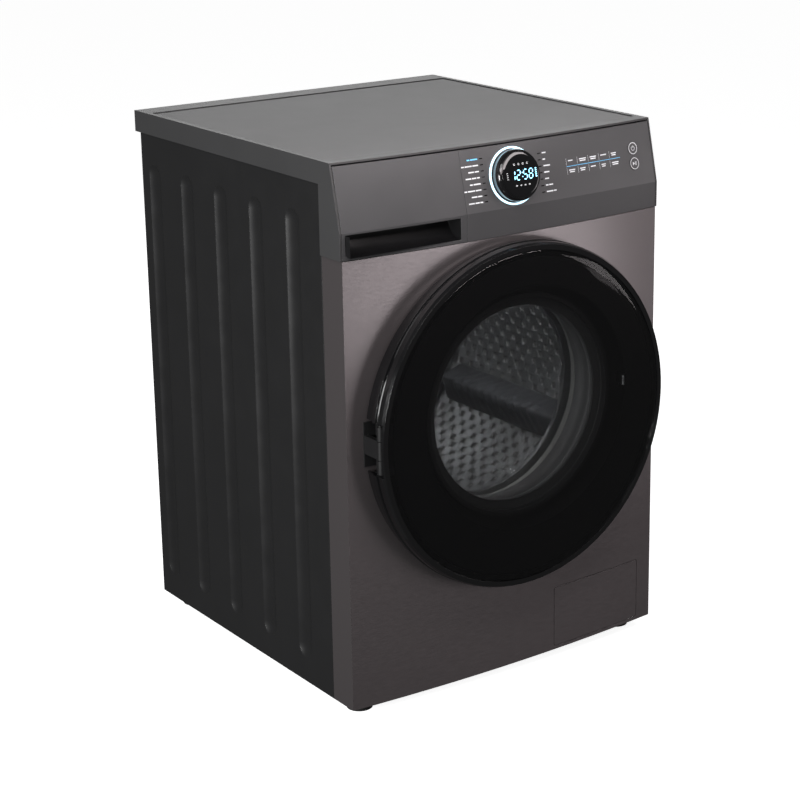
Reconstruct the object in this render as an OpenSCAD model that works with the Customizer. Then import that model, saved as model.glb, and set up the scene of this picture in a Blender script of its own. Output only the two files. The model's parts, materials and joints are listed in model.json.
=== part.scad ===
// Front load washing machine, built as separate pieces around one drum axis.
// X runs to the right as seen from the front, Y runs to the back, Z runs up.
// The origin lies on the floor, under the middle of the machine.

/* [Cabinet] */
// Width over the top lid
body_w = 595; // [570:5:700]
// Height from the floor to the top of the lid
body_h = 850; // [840:5:1020]
// Depth of the lid at its front corners
body_d = 600; // [580:5:720]
// How far the middle of the bowed front stands ahead of its corners
front_bow = 14; // [6:1:20]
// Thickness of the steel sheets
sheet = 1.2; // [0.8:0.1:2]
// Overhang of the lid past each side panel
side_inset = 3; // [1:0.5:5]
// Overhang of the lid past the rear panel
rear_inset = 12; // [10:1:20]
// Clear height under the cabinet
foot_h = 18; // [15:1:24]
// Number of pressed grooves in each side panel
groove_count = 5; // [3:1:5]
// Width of a pressed groove
groove_w = 38; // [24:1:44]
// Depth of a pressed groove
groove_depth = 6; // [3:0.5:8]

/* [Top] */
// Height of the lid's side bands
lid_h = 34; // [28:1:40]
// Width of the raised rim along the lid's sides
rim_side = 9; // [6:1:16]
// Width of the raised rim along the lid's back
rim_back = 43; // [30:1:60]
// Width of the raised rim along the lid's front
rim_front = 24; // [16:1:34]
// Depth of the lid panel below the rim
lid_dish = 1.6; // [0.8:0.2:3]
// Thickness of the lid panel
lid_board = 12; // [8:1:16]

/* [Control panel] */
// Height of the whole control panel
panel_h = 138; // [130:1:150]
// Height of its upright lower strip
strip_h = 41; // [36:1:50]
// How far its top edge leans back
panel_lean = 22; // [12:1:30]
// Depth of the side cheeks
cheek_d = 53; // [40:1:70]
// Wall of the plastic fascia
fascia_t = 3; // [2.5:0.5:4]
// Place of the seam between drawer and fascia
drawer_seam_x = -83; // [-95:1:-70]
// Radius of the program knob
knob_r = 39; // [34:1:42]
// How far the program knob stands proud
knob_proud = 20; // [14:1:24]
// Radius of the round buttons
button_r = 10; // [7:0.5:11]

/* [Door] */
// Outer diameter of the door
door_d = 540; // [480:5:544]
// Height of the door's centre
door_z = 435; // [430:1:440]
// How far the door glass stands ahead of the cabinet's middle
door_proud = 50; // [46:1:60]
// Free gap between the door and the bowed front panel
door_gap = 3; // [2:0.5:5]
// Radius of the glass bowl where it passes the front panel
bowl_r = 152; // [130:1:154]
// Depth of the glass bowl behind the door's frame
bowl_depth = 84; // [60:1:96]
// Thickness of the bowl's glass
bowl_t = 4; // [3:0.5:5]

/* [Drum and tub] */
// Height of the drum axis
drum_z = 450; // [445:1:455]
// Outer radius of the drum
drum_r = 242; // [200:1:243]
// Length of the drum's wall
drum_len = 388; // [340:2:392]
// Radius of the drum's mouth
mouth_r = 165; // [158:1:170]
// Gap between the drum and the tub wall
tub_gap = 10; // [8:1:10]
// Wall of the plastic tub
tub_t = 4; // [3:0.5:5]
// Travel of the tub on its springs, each way
tub_travel = 8; // [4:1:8]
// Radius of the drum shaft
shaft_r = 15; // [12:1:17]
// Radius of the drum pulley
pulley_r = 145; // [120:1:150]
// Radius of the motor pulley
motor_pulley_r = 13; // [9:1:16]
// Radial clearance of each turning or sliding fit
fit = 0.05; // [0.02:0.01:0.08]

/* [Drawer and service flap] */
// Travel of the detergent drawer
drawer_travel = 190; // [120:5:200]
// Width of the service flap
flap_w = 181; // [160:1:186]
// Height of the service flap
flap_h = 100; // [80:1:104]
// Gap around drawer, flap and buttons
gap = 0.8; // [0.6:0.1:1.2]

/* [Hidden] */

// Facet counts: ordinary round parts, large rings and the bowed front
fn_small = 32;
fn_ring = 128;
fn_bow = 256;
$fn = fn_small;

// Main places of the cabinet
total_d = body_d + front_bow + door_proud;
y_back = total_d / 2;
y_corner = y_back - body_d;
y_mid = y_corner - front_bow;
y_rear = y_back - rear_inset;
y_seam = y_corner + cheek_d;
x_lid = body_w / 2;
x_side = x_lid - side_inset;
x_in = x_side - sheet;
z_lid = body_h - lid_h;
z_panel = body_h - panel_h;
z_break = z_panel + strip_h;
z_floor = foot_h;
z_axis = drum_z;
seam = 0.6;
flange = 18;

// Height range of the pressed grooves
groove_low = z_floor + 40;
groove_high = z_lid - 48;

// Places of the tub, the drum and what hangs from them
tub_in = drum_r + tub_gap;
tub_out = tub_in + tub_t;
tub_flange = 8;
tub_y0 = y_mid + 62;
tub_split = tub_y0 + 200;
drum_y0 = tub_y0 + tub_t + 12;
drum_y1 = drum_y0 + drum_len;
spider_t = 16;
tub_y1 = drum_y1 + spider_t + 8;
tub_back_t = 6;
hub_r = 46;
hub_y1 = tub_y1 + tub_back_t + 24;
bearing_r = 31;
bearing_w = 14;
seal_w = 6;
inlet_pipe_top = z_axis + 205;
damper_x = 190;
damper_ys = [tub_split - 40, tub_split + 150];
lug_drop = 16.431;
damper_lug_z = z_axis - sqrt(pow(tub_out, 2) - pow(damper_x, 2)) - lug_drop;
motor_x = -70;
motor_z = 112;
motor_r = 58;
motor_y0 = tub_split + 110;
motor_y1 = motor_y0 + 112;
motor_pad = 64;
spring_x = tub_out - 6;
spring_y = tub_split + 60;
spring_low = z_axis + 150;
spring_top = groove_high + 4;

// The front is bowed to one large radius, and its upper part leans back
bow_r = (pow(x_lid, 2) + pow(front_bow, 2)) / (2 * front_bow);
lean = atan(panel_lean / (panel_h - strip_h));
function sag(x) = bow_r - sqrt(pow(bow_r, 2) - pow(x, 2));
function bow_y(x) = y_mid + sag(x);
function face_rise(x, z) = (z - z_break + sag(x) * sin(lean)) / cos(lean);
function face_y(x, z) = y_mid + sag(x) * cos(lean) + face_rise(x, z) * sin(lean);
function face_yaw(x) = asin(x / bow_r);

// ---------- helpers ----------

// A block between two opposite corners
module span(low, high) {
  translate(low) cube(high - low);
}

// A round bar along Y, between two places
module bar_y(r, y0, y1, facets = fn_small) {
  translate([0, y0, 0]) rotate([-90, 0, 0]) cylinder(r = r, h = y1 - y0, $fn = facets);
}

// A round bar along X, between two places
module bar_x(r, x0, x1) {
  translate([x0, 0, 0]) rotate([0, 90, 0]) cylinder(r = r, h = x1 - x0);
}

// A ring around Y
module ring_y(outer, inner, y0, y1, facets = fn_ring) {
  difference() {
    bar_y(outer, y0, y1, facets);
    bar_y(inner, y0 - 1, y1 + 1, facets);
  }
}

// A profile of radius and depth, turned around Y
module turned_y(facets = fn_ring) {
  rotate([-90, 0, 0]) rotate_extrude($fn = facets) children();
}

// An outline in X and Z, given thickness along Y
module plate_y(y0, y1) {
  translate([0, y1, 0]) rotate([90, 0, 0]) linear_extrude(y1 - y0) children();
}

// A rectangle with round corners
module round_rect(low, high, r) {
  translate([low.x + r, low.y]) square([high.x - low.x - 2 * r, high.y - low.y]);
  translate([low.x, low.y + r]) square([high.x - low.x, high.y - low.y - 2 * r]);
  for (x = [low.x + r, high.x - r], y = [low.y + r, high.y - r]) {
    translate([x, y]) circle(r);
  }
}

// The same piece on both sides of the machine
module both_sides() {
  children();
  mirror([1, 0, 0]) children();
}

// Children placed on the drum axis
module on_axis() {
  translate([0, 0, z_axis]) children();
}

// Everything behind the bowed upright front, set back by an amount
module behind_bow(back) {
  translate([0, y_mid + bow_r, z_floor]) cylinder(r = bow_r - back, h = body_h, $fn = fn_bow);
}

// Everything behind the leaning upper front, set back by an amount
module behind_lean(back) {
  reach = body_h;
  translate([0, y_mid, z_break]) rotate([-lean, 0, 0]) translate([0, bow_r, -reach])
    cylinder(r = bow_r - back, h = 2 * reach, $fn = fn_bow);
}

// Children placed on the leaning face, with Z pointing out of it
module on_face(x, z, yaw = 0) {
  translate([x, face_y(x, z), z]) rotate([0, 0, yaw]) rotate([90 - lean, 0, 0]) children();
}

// ---------- cabinet ----------

groove_r = (pow(groove_w / 2, 2) + pow(groove_depth, 2)) / (2 * groove_depth);
groove_step = 104;
groove_back = y_rear - 42;

// A rod with round ends, standing beside the panel; its belly presses the groove
module groove_rod(r) {
  x = -x_side - groove_r + groove_depth;
  end = groove_w / 2;
  translate([x, 0, groove_low + end]) cylinder(r = r, h = groove_high - groove_low - 2 * end, $fn = 96);
  for (z = [groove_low + end, groove_high - end]) {
    translate([x, 0, z]) sphere(r = r, $fn = 96);
  }
}

// One side: a sheet with pressed grooves and flanges turned inwards
module side_panel() {
  difference() {
    union() {
      span([-x_side, y_seam, z_floor], [-x_in, y_rear, z_lid]);
      span([-x_in, y_seam, z_floor], [-x_in + flange, y_seam + sheet, z_lid]);
      span([-x_in, y_rear - 2 * sheet, z_floor], [-x_in + flange, y_rear - sheet, z_lid]);
      for (i = [0:groove_count - 1]) {
        intersection() {
          translate([0, groove_back - i * groove_step, 0]) groove_rod(groove_r + sheet);
          span([-x_side, y_seam, z_floor], [-x_in + flange, y_rear, z_lid]);
        }
      }
    }
    for (i = [0:groove_count - 1]) {
      translate([0, groove_back - i * groove_step, 0]) groove_rod(groove_r);
    }
  }
}

module left_side_panel() {
  color("#262627") side_panel();
}

module right_side_panel() {
  color("#262627") mirror([1, 0, 0]) side_panel();
}

port_r = mouth_r + 13;
port_collar = 12;
flap_x = 83;
flap_z = z_floor + 6;
flap_corner = 4;
latch_x = port_r + 32;
latch_w = 18;
latch_h = 22;

// The bowed front as a solid block, set back all round by an amount
module front_block(back) {
  intersection() {
    behind_bow(back);
    span([-x_side + back, y_mid, z_floor + back], [x_side - back, y_seam - seam, z_panel - seam - back]);
  }
}

// Bowed steel front with the porthole, the latch slot and the service opening
module front_panel() {
  color("#5b5657") difference() {
    union() {
      difference() {
        front_block(0);
        front_block(sheet);
        span([-x_in + flange, y_corner + sheet, z_floor], [x_in - flange, y_seam + 1, z_panel]);
      }
      on_axis() ring_y(port_r + sheet, port_r, y_mid + sheet / 2, y_mid + port_collar);
    }
    on_axis() bar_y(port_r, y_mid - 1, y_mid + port_collar + 1, fn_ring);
    plate_y(y_mid - 1, y_corner + sheet)
      round_rect([flap_x - gap, flap_z - gap], [flap_x + flap_w + gap, flap_z + flap_h + gap], flap_corner + gap);
    span([latch_x - latch_w / 2, y_mid - 1, z_axis - latch_h / 2],
         [latch_x + latch_w / 2, y_seam - flange, z_axis + latch_h / 2]);
  }
}

cover_x = 175;
cover_low = z_axis - 260;
cover_high = z_axis + 240;
cover_hole = 16;

// Rear sheet with its large service opening
module rear_panel() {
  color("#3a3a3b") difference() {
    span([-x_in, y_rear - sheet, z_floor], [x_in, y_rear, z_lid]);
    plate_y(y_rear - sheet - 1, y_rear + 1)
      round_rect([-cover_x + cover_hole, cover_low + cover_hole], [cover_x - cover_hole, cover_high - cover_hole], 30);
    translate([valve_x, 0, valve_z]) bar_y(valve_hole, y_rear - 3 * sheet, y_rear + 1);
    translate([gland_x, 0, gland_z]) bar_y(gland_r, y_rear - 3 * sheet, y_rear + 1);
    translate([drain_x, 0, drain_z]) bar_y(drain_r, y_rear - 3 * sheet, y_rear + 1);
    for (z = cover_screws, x = [-cover_x + 8, cover_x - 8]) {
      translate([x, 0, z]) bar_y(2, y_rear - 3 * sheet, y_rear + 1);
    }
  }
}

cover_rise = 7;
cover_screws = [cover_low + 20, (cover_low + cover_high) / 2, cover_high - 20];

// Raised cover over the service opening, with cooling slots
module rear_cover() {
  color("#343435") difference() {
    union() {
      plate_y(y_rear, y_rear + sheet) round_rect([-cover_x, cover_low], [cover_x, cover_high], 36);
      plate_y(y_rear, y_rear + cover_rise)
        round_rect([-cover_x + cover_hole, cover_low + cover_hole], [cover_x - cover_hole, cover_high - cover_hole], 30);
    }
    plate_y(y_rear - 1, y_rear + cover_rise - sheet)
      round_rect([-cover_x + cover_hole + sheet, cover_low + cover_hole + sheet],
                 [cover_x - cover_hole - sheet, cover_high - cover_hole - sheet], 29);
    for (i = [0:5], x = [-70, 70]) {
      plate_y(y_rear, y_rear + cover_rise + 1)
        round_rect([x - 30, cover_low + 60 + i * 14], [x + 30, cover_low + 65 + i * 14], 2.4);
    }
    for (z = cover_screws, x = [-cover_x + 8, cover_x - 8]) {
      translate([x, 0, z]) bar_y(2, y_rear - 1, y_rear + 2 * sheet);
    }
  }
}

screw_head = 2;

// Screws of the rear cover, with flat heads
module panel_screws() {
  color("#8d8e90") for (z = cover_screws, x = [-cover_x + 8, cover_x - 8]) {
    translate([x, 0, z]) {
      bar_y(1.9, y_rear - 8, y_rear + sheet);
      bar_y(4.5, y_rear + sheet, y_rear + sheet + screw_head);
    }
  }
}

tray_t = 2.5;
tray_wall = 22;
tray_clear = 0.4;
foot_x = x_side - 38;
foot_front = y_corner + 40;
foot_rear = y_rear - 40;
foot_thread = 5;

// Plastic floor of the cabinet, with an upturned edge and cooling slots
module base_tray() {
  x = x_in - flange - tray_clear;
  front = y_seam - 2 * sheet;
  rear = y_rear - 3 * sheet;
  color("#1b1b1c") difference() {
    union() {
      span([-x, front, z_floor], [x, rear, z_floor + tray_wall]);
      for (y = [foot_front, foot_rear]) {
        both_sides() translate([foot_x, y, z_floor]) cylinder(r = 16, h = 12);
      }
      intersection() {
        span([-x, y_corner + 10, z_floor + sheet + tray_clear], [x, front + 1, z_floor + tray_t + sheet + tray_clear]);
        behind_bow(3 * sheet);
      }
    }
    span([-x + tray_t, front + tray_t, z_floor + tray_t], [x - tray_t, rear - tray_t, z_floor + tray_wall + 1]);
    for (y = [foot_front, foot_rear]) {
      both_sides() translate([foot_x, y, z_floor - 1]) cylinder(r = foot_thread + fit, h = 30);
    }
    for (i = [-4:4]) {
      span([i * 26 - 4, -30, z_floor - 1], [i * 26 + 4, 60, z_floor + tray_t + 1]);
    }
  }
}

foot_r = 20;
foot_pad = 9;

// Four levelling feet: rubber-soled pad, hex, threaded stud and lock nut
module levelling_feet() {
  color("#141414") for (y = [foot_front, foot_rear]) {
    both_sides() translate([foot_x, y, 0]) {
      cylinder(r = foot_r, h = foot_pad, $fn = 48);
      cylinder(r = foot_r - 4, h = foot_pad + 3, $fn = 48);
      cylinder(r = foot_thread, h = z_floor + 24);
      translate([0, 0, z_floor - 5]) cylinder(r = 9, h = 5, $fn = 6);
    }
  }
}

brace_h = 7;
brace_clear = 4;

// Flat steel channel across the front, between the tub's weights and the control panel
module front_brace() {
  top = z_panel - seam - sheet;
  front = y_corner + 2 * sheet;
  color("#8a8c8e") difference() {
    span([-x_in + flange, front, top - brace_h], [x_in - flange, tub_y0 - brace_clear, top]);
    span([-x_side, front + sheet, top - brace_h - 1], [x_side, tub_y0 - brace_clear - sheet, top - sheet]);
  }
}

hanger_half = 30;

// Steel channels inside the side panels, which carry the springs' upper hooks
module spring_hangers() {
  color("#8a8c8e") both_sides() difference() {
    span([-x_in, spring_y - hanger_half, spring_top], [-x_in + 44, spring_y + hanger_half, spring_top + 26]);
    span([-x_in + sheet, spring_y - hanger_half - 1, spring_top + sheet], [-x_in + 43, spring_y + hanger_half + 1, spring_top + 27]);
    translate([-spring_x, spring_y, spring_top - 1]) cylinder(r = 3, h = 6);
  }
}

// ---------- lid ----------

lid_t = 3;
lid_lip = 4.5;
lid_ledge = 14;
lid_gap = 0.4;
cheek_t = 3.4;

// The lid as a solid block between two heights, set in from its sides by an amount
module lid_block(low, high, back) {
  intersection() {
    behind_lean(back);
    behind_bow(back);
    span([-x_lid + back, y_mid - 1, low], [x_lid - back, y_back - back, high]);
  }
}

// The bed of the lid panel, with its bowed front edge
module lid_bed(low, high, inset) {
  intersection() {
    behind_bow(panel_lean + rim_front + inset);
    span([-x_lid + rim_side + inset, y_mid, low], [x_lid - rim_side - inset, y_back - rim_back - inset, high]);
  }
}

// Plastic frame of the lid with the side cheeks of the front
module lid_frame() {
  color("#4a4a4b") difference() {
    union() {
      lid_block(z_lid, body_h, 0);
      intersection() {
        behind_bow(0);
        behind_lean(0);
        both_sides() span([-x_lid, y_mid, z_panel], [-x_lid + cheek_t, y_seam - seam, z_lid + 1]);
      }
    }
    difference() {
      span([-x_lid + lid_t, y_mid - 5, z_lid - 1], [x_lid - lid_t, y_back - lid_t, body_h - lid_t]);
      lid_bed(body_h - lid_dish - lid_board - lid_t, body_h, -lid_t);
    }
    lid_bed(body_h - lid_dish - lid_board, body_h + 1, 0);
    lid_bed(body_h - 2 * lid_board - lid_t, body_h, lid_ledge);
    difference() {
      span([-x_lid + cheek_t, y_mid - 5, z_panel - 1], [x_lid - cheek_t, y_corner + 50, body_h - lid_lip]);
      intersection() {
        behind_bow(fascia_t + seam);
        behind_lean(fascia_t + seam);
      }
    }
  }
}

// Laminated board laid into the lid frame
module lid_panel() {
  color("#6a6a6b") lid_bed(body_h - lid_dish - lid_board, body_h - lid_dish, lid_gap);
}

// ---------- control panel ----------

// The front skin between two X places, with the fascia's wall
module fascia_skin(x0, x1) {
  difference() {
    intersection() {
      behind_bow(0);
      behind_lean(0);
      span([x0, y_mid - 1, z_panel], [x1, y_corner + 60, body_h - lid_lip - seam]);
    }
    intersection() {
      behind_bow(fascia_t);
      behind_lean(fascia_t);
    }
  }
}

knob_x = 9;
knob_z = body_h - 52;
knob_bore = 33;
post_r = knob_bore - fit;
button_x = x_side - 41.5;
button_zs = [body_h - 42, body_h - 65];
button_stem = 5;
board_x = 82;
board_back = 25;
board_t = 1.6;
boss_xs = [-60, 100, x_side - 69.5];
boss_v = 26;

// Fascia right of the drawer, with its openings and bosses
module control_panel() {
  color("#58585a") difference() {
    union() {
      fascia_skin(drawer_seam_x, x_lid - cheek_t - seam);
      on_face(board_x, knob_z) for (x = boss_xs, v = [-boss_v, boss_v]) {
        translate([x - board_x, v, -board_back])
          cylinder(r = 4, h = board_back - fascia_t / 2 - sag(x) + sag(board_x));
      }
    }
    on_face(knob_x, knob_z) translate([0, 0, -10]) cylinder(r = post_r - 2, h = 20, $fn = fn_ring);
    on_face(knob_x, knob_z) translate([0, 0, -1]) cylinder(r = knob_r + 5, h = 20, $fn = fn_ring);
    for (z = button_zs) {
      on_face(button_x, z, face_yaw(button_x)) {
        translate([0, 0, -1.4]) cylinder(r = button_r + 0.3, h = 10, $fn = 64);
        translate([0, 0, -10]) cylinder(r = button_stem + fit, h = 20);
      }
    }
  }
}

// Circuit board behind the fascia, carried on its bosses
module control_board() {
  color("#1d5a34") on_face(board_x, knob_z) translate([0, 0, -board_back - board_t]) {
    difference() {
      span([-150, -boss_v - 6, 0], [190, boss_v + 6, board_t]);
      for (x = boss_xs, v = [-boss_v, boss_v]) {
        translate([x - board_x, v, -1]) cylinder(r = 1.6, h = 4);
      }
    }
    span([-120, -20, board_t], [-78, 10, board_t + 6]);
    span([90, -16, board_t], [114, 8, board_t + 3]);
  }
}

// Turning ring of the program knob
module knob() {
  color("#0d0d0f") on_face(knob_x, knob_z) rotate_extrude($fn = fn_ring) {
    translate([knob_bore, 0.4]) square([knob_r - knob_bore, knob_proud - 5]);
    translate([knob_bore, 0.4]) square([knob_r - knob_bore - 3, knob_proud - 2]);
    translate([knob_r - 3, knob_proud - 4.6]) circle(3);
  }
}

// Light ring around the knob's foot
module knob_light_ring() {
  color("#cfe6f5") on_face(knob_x, knob_z) translate([0, 0, -1]) difference() {
    cylinder(r = knob_r + 4.6, h = 2.2, $fn = fn_ring);
    translate([0, 0, -1]) cylinder(r = knob_r + 1.4, h = 5, $fn = fn_ring);
  }
}

lens_t = 1.8;

// Fixed post that the knob turns on; it carries the display
module display_post() {
  color("#101012") on_face(knob_x, knob_z) difference() {
    translate([0, 0, -1]) cylinder(r = post_r, h = knob_proud, $fn = fn_ring);
    translate([0, 0, 2]) cylinder(r = post_r - 3, h = knob_proud - 8, $fn = fn_ring);
  }
}

// Dark round lens of the display, over the post and the ring's inner edge
module display_lens() {
  color("#060607") on_face(knob_x, knob_z) translate([0, 0, knob_proud - 1])
    cylinder(r = knob_bore + 2, h = lens_t, $fn = fn_ring);
}

button_travel = 0.8;

// A round button with its stem and the collar that keeps it in
module push_button(z) {
  color("#4c4c4e") on_face(button_x, z, face_yaw(button_x)) {
    translate([0, 0, -0.5]) cylinder(r = button_r, h = 1.5, $fn = 64);
    translate([0, 0, -fascia_t - 4]) cylinder(r = button_stem, h = fascia_t + 4);
    translate([0, 0, -fascia_t - 2]) cylinder(r = button_stem + 2, h = 1.7);
  }
}

module power_button() {
  push_button(button_zs[0]);
}

module start_button() {
  push_button(button_zs[1]);
}

// ---------- detergent drawer ----------

pull_low = [-x_lid + cheek_t + seam + 5, z_panel + 3.5];
pull_high = [drawer_seam_x - 11, z_panel + 37];
pull_r = 34;
pull_wall = 2.4;
housing_t = 2;
housing_gap = 1;
tray_x0 = -x_in + flange + housing_t + housing_gap + 1;
tray_x1 = drawer_seam_x - 12;
tray_z0 = z_panel + 8;
tray_z1 = z_lid - 14;
tray_y0 = y_mid + pull_r + 2 * pull_wall + 6;
tray_len = 232;

// The finger scoop behind the pull, grown by a wall
module pull_scoop(wall) {
  intersection() {
    translate([0, y_mid + 2, pull_high.y + 2]) bar_x(pull_r + wall, pull_low.x - wall, pull_high.x + wall);
    span([pull_low.x - wall, y_mid - 1, pull_low.y - wall], [pull_high.x + wall, y_corner + 60, pull_high.y + wall]);
  }
}

// Drawer front with its pull
module drawer_front() {
  x0 = -x_lid + cheek_t + seam;
  color("#5e5e60") difference() {
    union() {
      fascia_skin(x0, drawer_seam_x - seam);
      intersection() {
        behind_bow(1);
        pull_scoop(pull_wall);
      }
      span([tray_x0 + 20, tray_y0 - 22, pull_high.y + pull_wall - 1], [tray_x1 - 20, tray_y0, pull_high.y + pull_wall + 5]);
      intersection() {
        behind_bow(1);
        behind_lean(1);
        for (x = [tray_x0 + 22, tray_x1 - 26]) {
          span([x, y_mid, pull_high.y + pull_wall], [x + 4, tray_y0, tray_z1 - 10]);
        }
      }
    }
    pull_scoop(0);
  }
}

cup_t = 2;
cup_splits = [0.36, 0.7];

// Detergent tray with three compartments
module drawer_tray() {
  w = tray_x1 - tray_x0;
  color("#3c4650") difference() {
    span([tray_x0, tray_y0, tray_z0], [tray_x1, tray_y0 + tray_len, tray_z1]);
    for (i = [0:2]) {
      x0 = tray_x0 + cup_t + (i == 0 ? 0 : cup_splits[i - 1] * w);
      x1 = tray_x0 - cup_t + (i == 2 ? w : cup_splits[i] * w);
      span([x0, tray_y0 + cup_t, tray_z0 + cup_t], [x1, tray_y0 + tray_len - cup_t, tray_z1 + 1]);
    }
  }
}

// Siphon cap that lies in the softener compartment
module siphon_cap() {
  w = tray_x1 - tray_x0;
  x0 = tray_x0 + cup_splits[0] * w + cup_t + gap;
  x1 = tray_x0 + cup_splits[1] * w - cup_t - gap;
  y0 = tray_y0 + tray_len / 2;
  color("#5f86a8") {
    span([x0, y0, tray_z1 - 16], [x1, y0 + 70, tray_z1 - 14]);
    translate([(x0 + x1) / 2, y0 + 35, tray_z0 + cup_t]) cylinder(r = 7, h = tray_z1 - 14 - tray_z0 - cup_t);
  }
}

hose_x = -x_side + 94.5;
hose_y = y_mid + 130;
hose_r = 24;

// Housing that the drawer runs in, with its outlet spout
module dispenser_housing() {
  low = [tray_x0 - housing_gap - housing_t, tray_y0 + 4, tray_z0 - housing_gap - housing_t];
  high = [tray_x1 + housing_gap + housing_t, tray_y0 + tray_len + 8, tray_z1 + 6 + housing_t];
  color("#2d3136") difference() {
    union() {
      span(low, high);
      translate([hose_x, hose_y, low.z - 14]) cylinder(r = hose_r - 3, h = 15);
    }
    span([low.x + housing_t, low.y - 1, low.z + housing_t], [high.x - housing_t, high.y - housing_t, high.z - housing_t]);
    translate([hose_x, hose_y, low.z - 15]) cylinder(r = hose_r - 6, h = 20);
  }
}

spout_z = tray_z0 - housing_gap - housing_t - 14;

// Turned profile of a bellows hose standing upright
module bellows(x, y, z0, z1, r, folds) {
  pitch = (z1 - z0) / folds;
  translate([x, y, 0]) difference() {
    union() {
      translate([0, 0, z0]) cylinder(r = r - 1, h = z1 - z0);
      for (i = [0:folds - 1]) {
        translate([0, 0, z0 + (i + 0.5) * pitch]) rotate_extrude() translate([r - 1, 0]) circle(r = pitch / 3);
      }
    }
    translate([0, 0, z0 - 1]) cylinder(r = r - 3, h = z1 - z0 + 2);
  }
}

// Bellows from the dispenser down to the tub
module dispenser_hose() {
  color("#202022") bellows(hose_x, hose_y, inlet_pipe_top - 10, spout_z + 12, hose_r + 0.4, 5);
}

// ---------- water, electrics ----------

valve_x = -x_side + 79.5;
valve_z = z_panel + 30;
valve_hole = 15;
thread_r = 13.2;
gland_x = x_side - 79.5;
gland_z = z_panel + 30;
gland_r = 9;
drain_x = -x_side + 79.5;
drain_z = z_panel - 72;
drain_r = 15;

// Inlet valve: threaded mouth through the rear, body and coil inside
module inlet_valve() {
  color("#e8e8e4") translate([valve_x, 0, valve_z]) {
    difference() {
      union() {
        bar_y(thread_r, y_rear - 20, y_rear + 11);
        bar_y(valve_hole + 5, y_rear - sheet - 4, y_rear - sheet);
        bar_y(thread_r - 3, y_rear - 60, y_rear - 19);
      }
      bar_y(8, y_rear - 18, y_rear + 12);
    }
    span([-12, y_rear - 58, 8], [12, y_rear - 30, 34]);
  }
}

// Level sensor with its bracket on the rear panel
module pressure_switch() {
  color("#f1efe8") translate([x_in - 140, y_rear - 50, z_lid - 70]) {
    cylinder(r = 22, h = 26, $fn = 48);
    translate([0, 0, -12]) cylinder(r = 3, h = 13);
    span([-12, 15, 4], [12, 50 - sheet, 20]);
  }
}

// Strain-relief gland for the mains lead
module cable_gland() {
  color("#101010") translate([gland_x, 0, gland_z]) difference() {
    union() {
      bar_y(gland_r, y_rear - 10, y_rear + 1);
      bar_y(gland_r + 4, y_rear, y_rear + 8);
      bar_y(gland_r + 3, y_rear - 10, y_rear - 6);
    }
    bar_y(4.5, y_rear - 11, y_rear + 9);
  }
}

// Grommet where the drain hose leaves
module drain_grommet() {
  color("#101010") translate([drain_x, 0, drain_z]) difference() {
    union() {
      bar_y(drain_r, y_rear - 6, y_rear + 3);
      bar_y(drain_r + 4, y_rear, y_rear + 4);
      bar_y(drain_r + 4, y_rear - sheet - 4, y_rear - sheet);
    }
    bar_y(drain_r - 4, y_rear - 7, y_rear + 5);
  }
}

// ---------- door ----------

door_r = door_d / 2;
y_glass = y_mid - door_proud;
glass_dome = 11;
y_rim = y_glass + glass_dome;
y_door_back = y_mid + 4;
glass_r = door_r - 12.5;
frame_in = glass_r - 9;
hinge_x = -door_r + 8;
hinge_y = y_rim + 12;
hinge_half = 36;
pin_r = 3;
knuckle_r = 6;
arm_half = 14;
notch_x = hinge_x + 22;
notch_half = hinge_half + 4;
leaf_free = 14 / 31;
leaf_end = -port_r - leaf_free * (-notch_x - port_r);

// Children placed on the door's own centre line
module on_door() {
  translate([0, 0, door_z]) children();
}

// Round outer frame with stepped sides, cut back along the bowed front
module door_frame() {
  color("#101011") difference() {
    on_door() turned_y() difference() {
      polygon([
        [frame_in, y_corner], [door_r - 5, y_corner], [door_r - 3, y_rim + 30], [door_r, y_rim + 27],
        [door_r, y_rim + 20], [door_r - 3, y_rim + 19], [door_r - 3, y_rim + 15], [door_r - 1, y_rim + 14],
        [door_r - 1.5, y_rim + 5], [door_r - 4, y_rim], [glass_r + 0.4, y_rim], [glass_r + 0.4, y_rim + 4],
        [frame_in, y_rim + 4]
      ]);
      translate([frame_in - 1, y_rim + 7]) square([door_r - 8 - frame_in + 1, body_d]);
    }
    behind_bow(-door_gap);
    span([-door_r - 1, y_rim + 3, door_z - notch_half], [notch_x, y_corner, door_z + notch_half]);
    span([door_r - 9, y_rim + 17, door_z - grip_h / 2], [door_r + 1, y_corner, door_z + grip_h / 2]);
  }
}

grip_h = 70;
dome_r = (pow(glass_r, 2) + pow(glass_dome, 2)) / (2 * glass_dome);
glass_edge = 2.5;
dome_steps = 10;
glass_t = 4;

// Smoked outer glass: a shallow dome, drawn as a fan of short steps
module door_glass() {
  function dome_y(r) = y_glass + dome_r - sqrt(pow(dome_r, 2) - pow(r, 2));
  outer = [for (i = [0:dome_steps]) let (r = (glass_r - glass_edge) * i / dome_steps) [r, dome_y(r)]];
  inner = [for (i = [dome_steps:-1:0]) let (r = frame_in * i / dome_steps) [r, dome_y(r) + glass_t]];
  color("#0b0b0c", 0.6) on_door() turned_y()
    polygon(concat(outer, [[glass_r, y_rim + 1], [glass_r, y_rim + 4], [frame_in, y_rim + 4]], inner));
}

inner_t = 3.5;
y_inner = y_mid - door_gap - inner_t - 0.5;
inner_r = door_r - 8 - 0.4;

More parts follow.
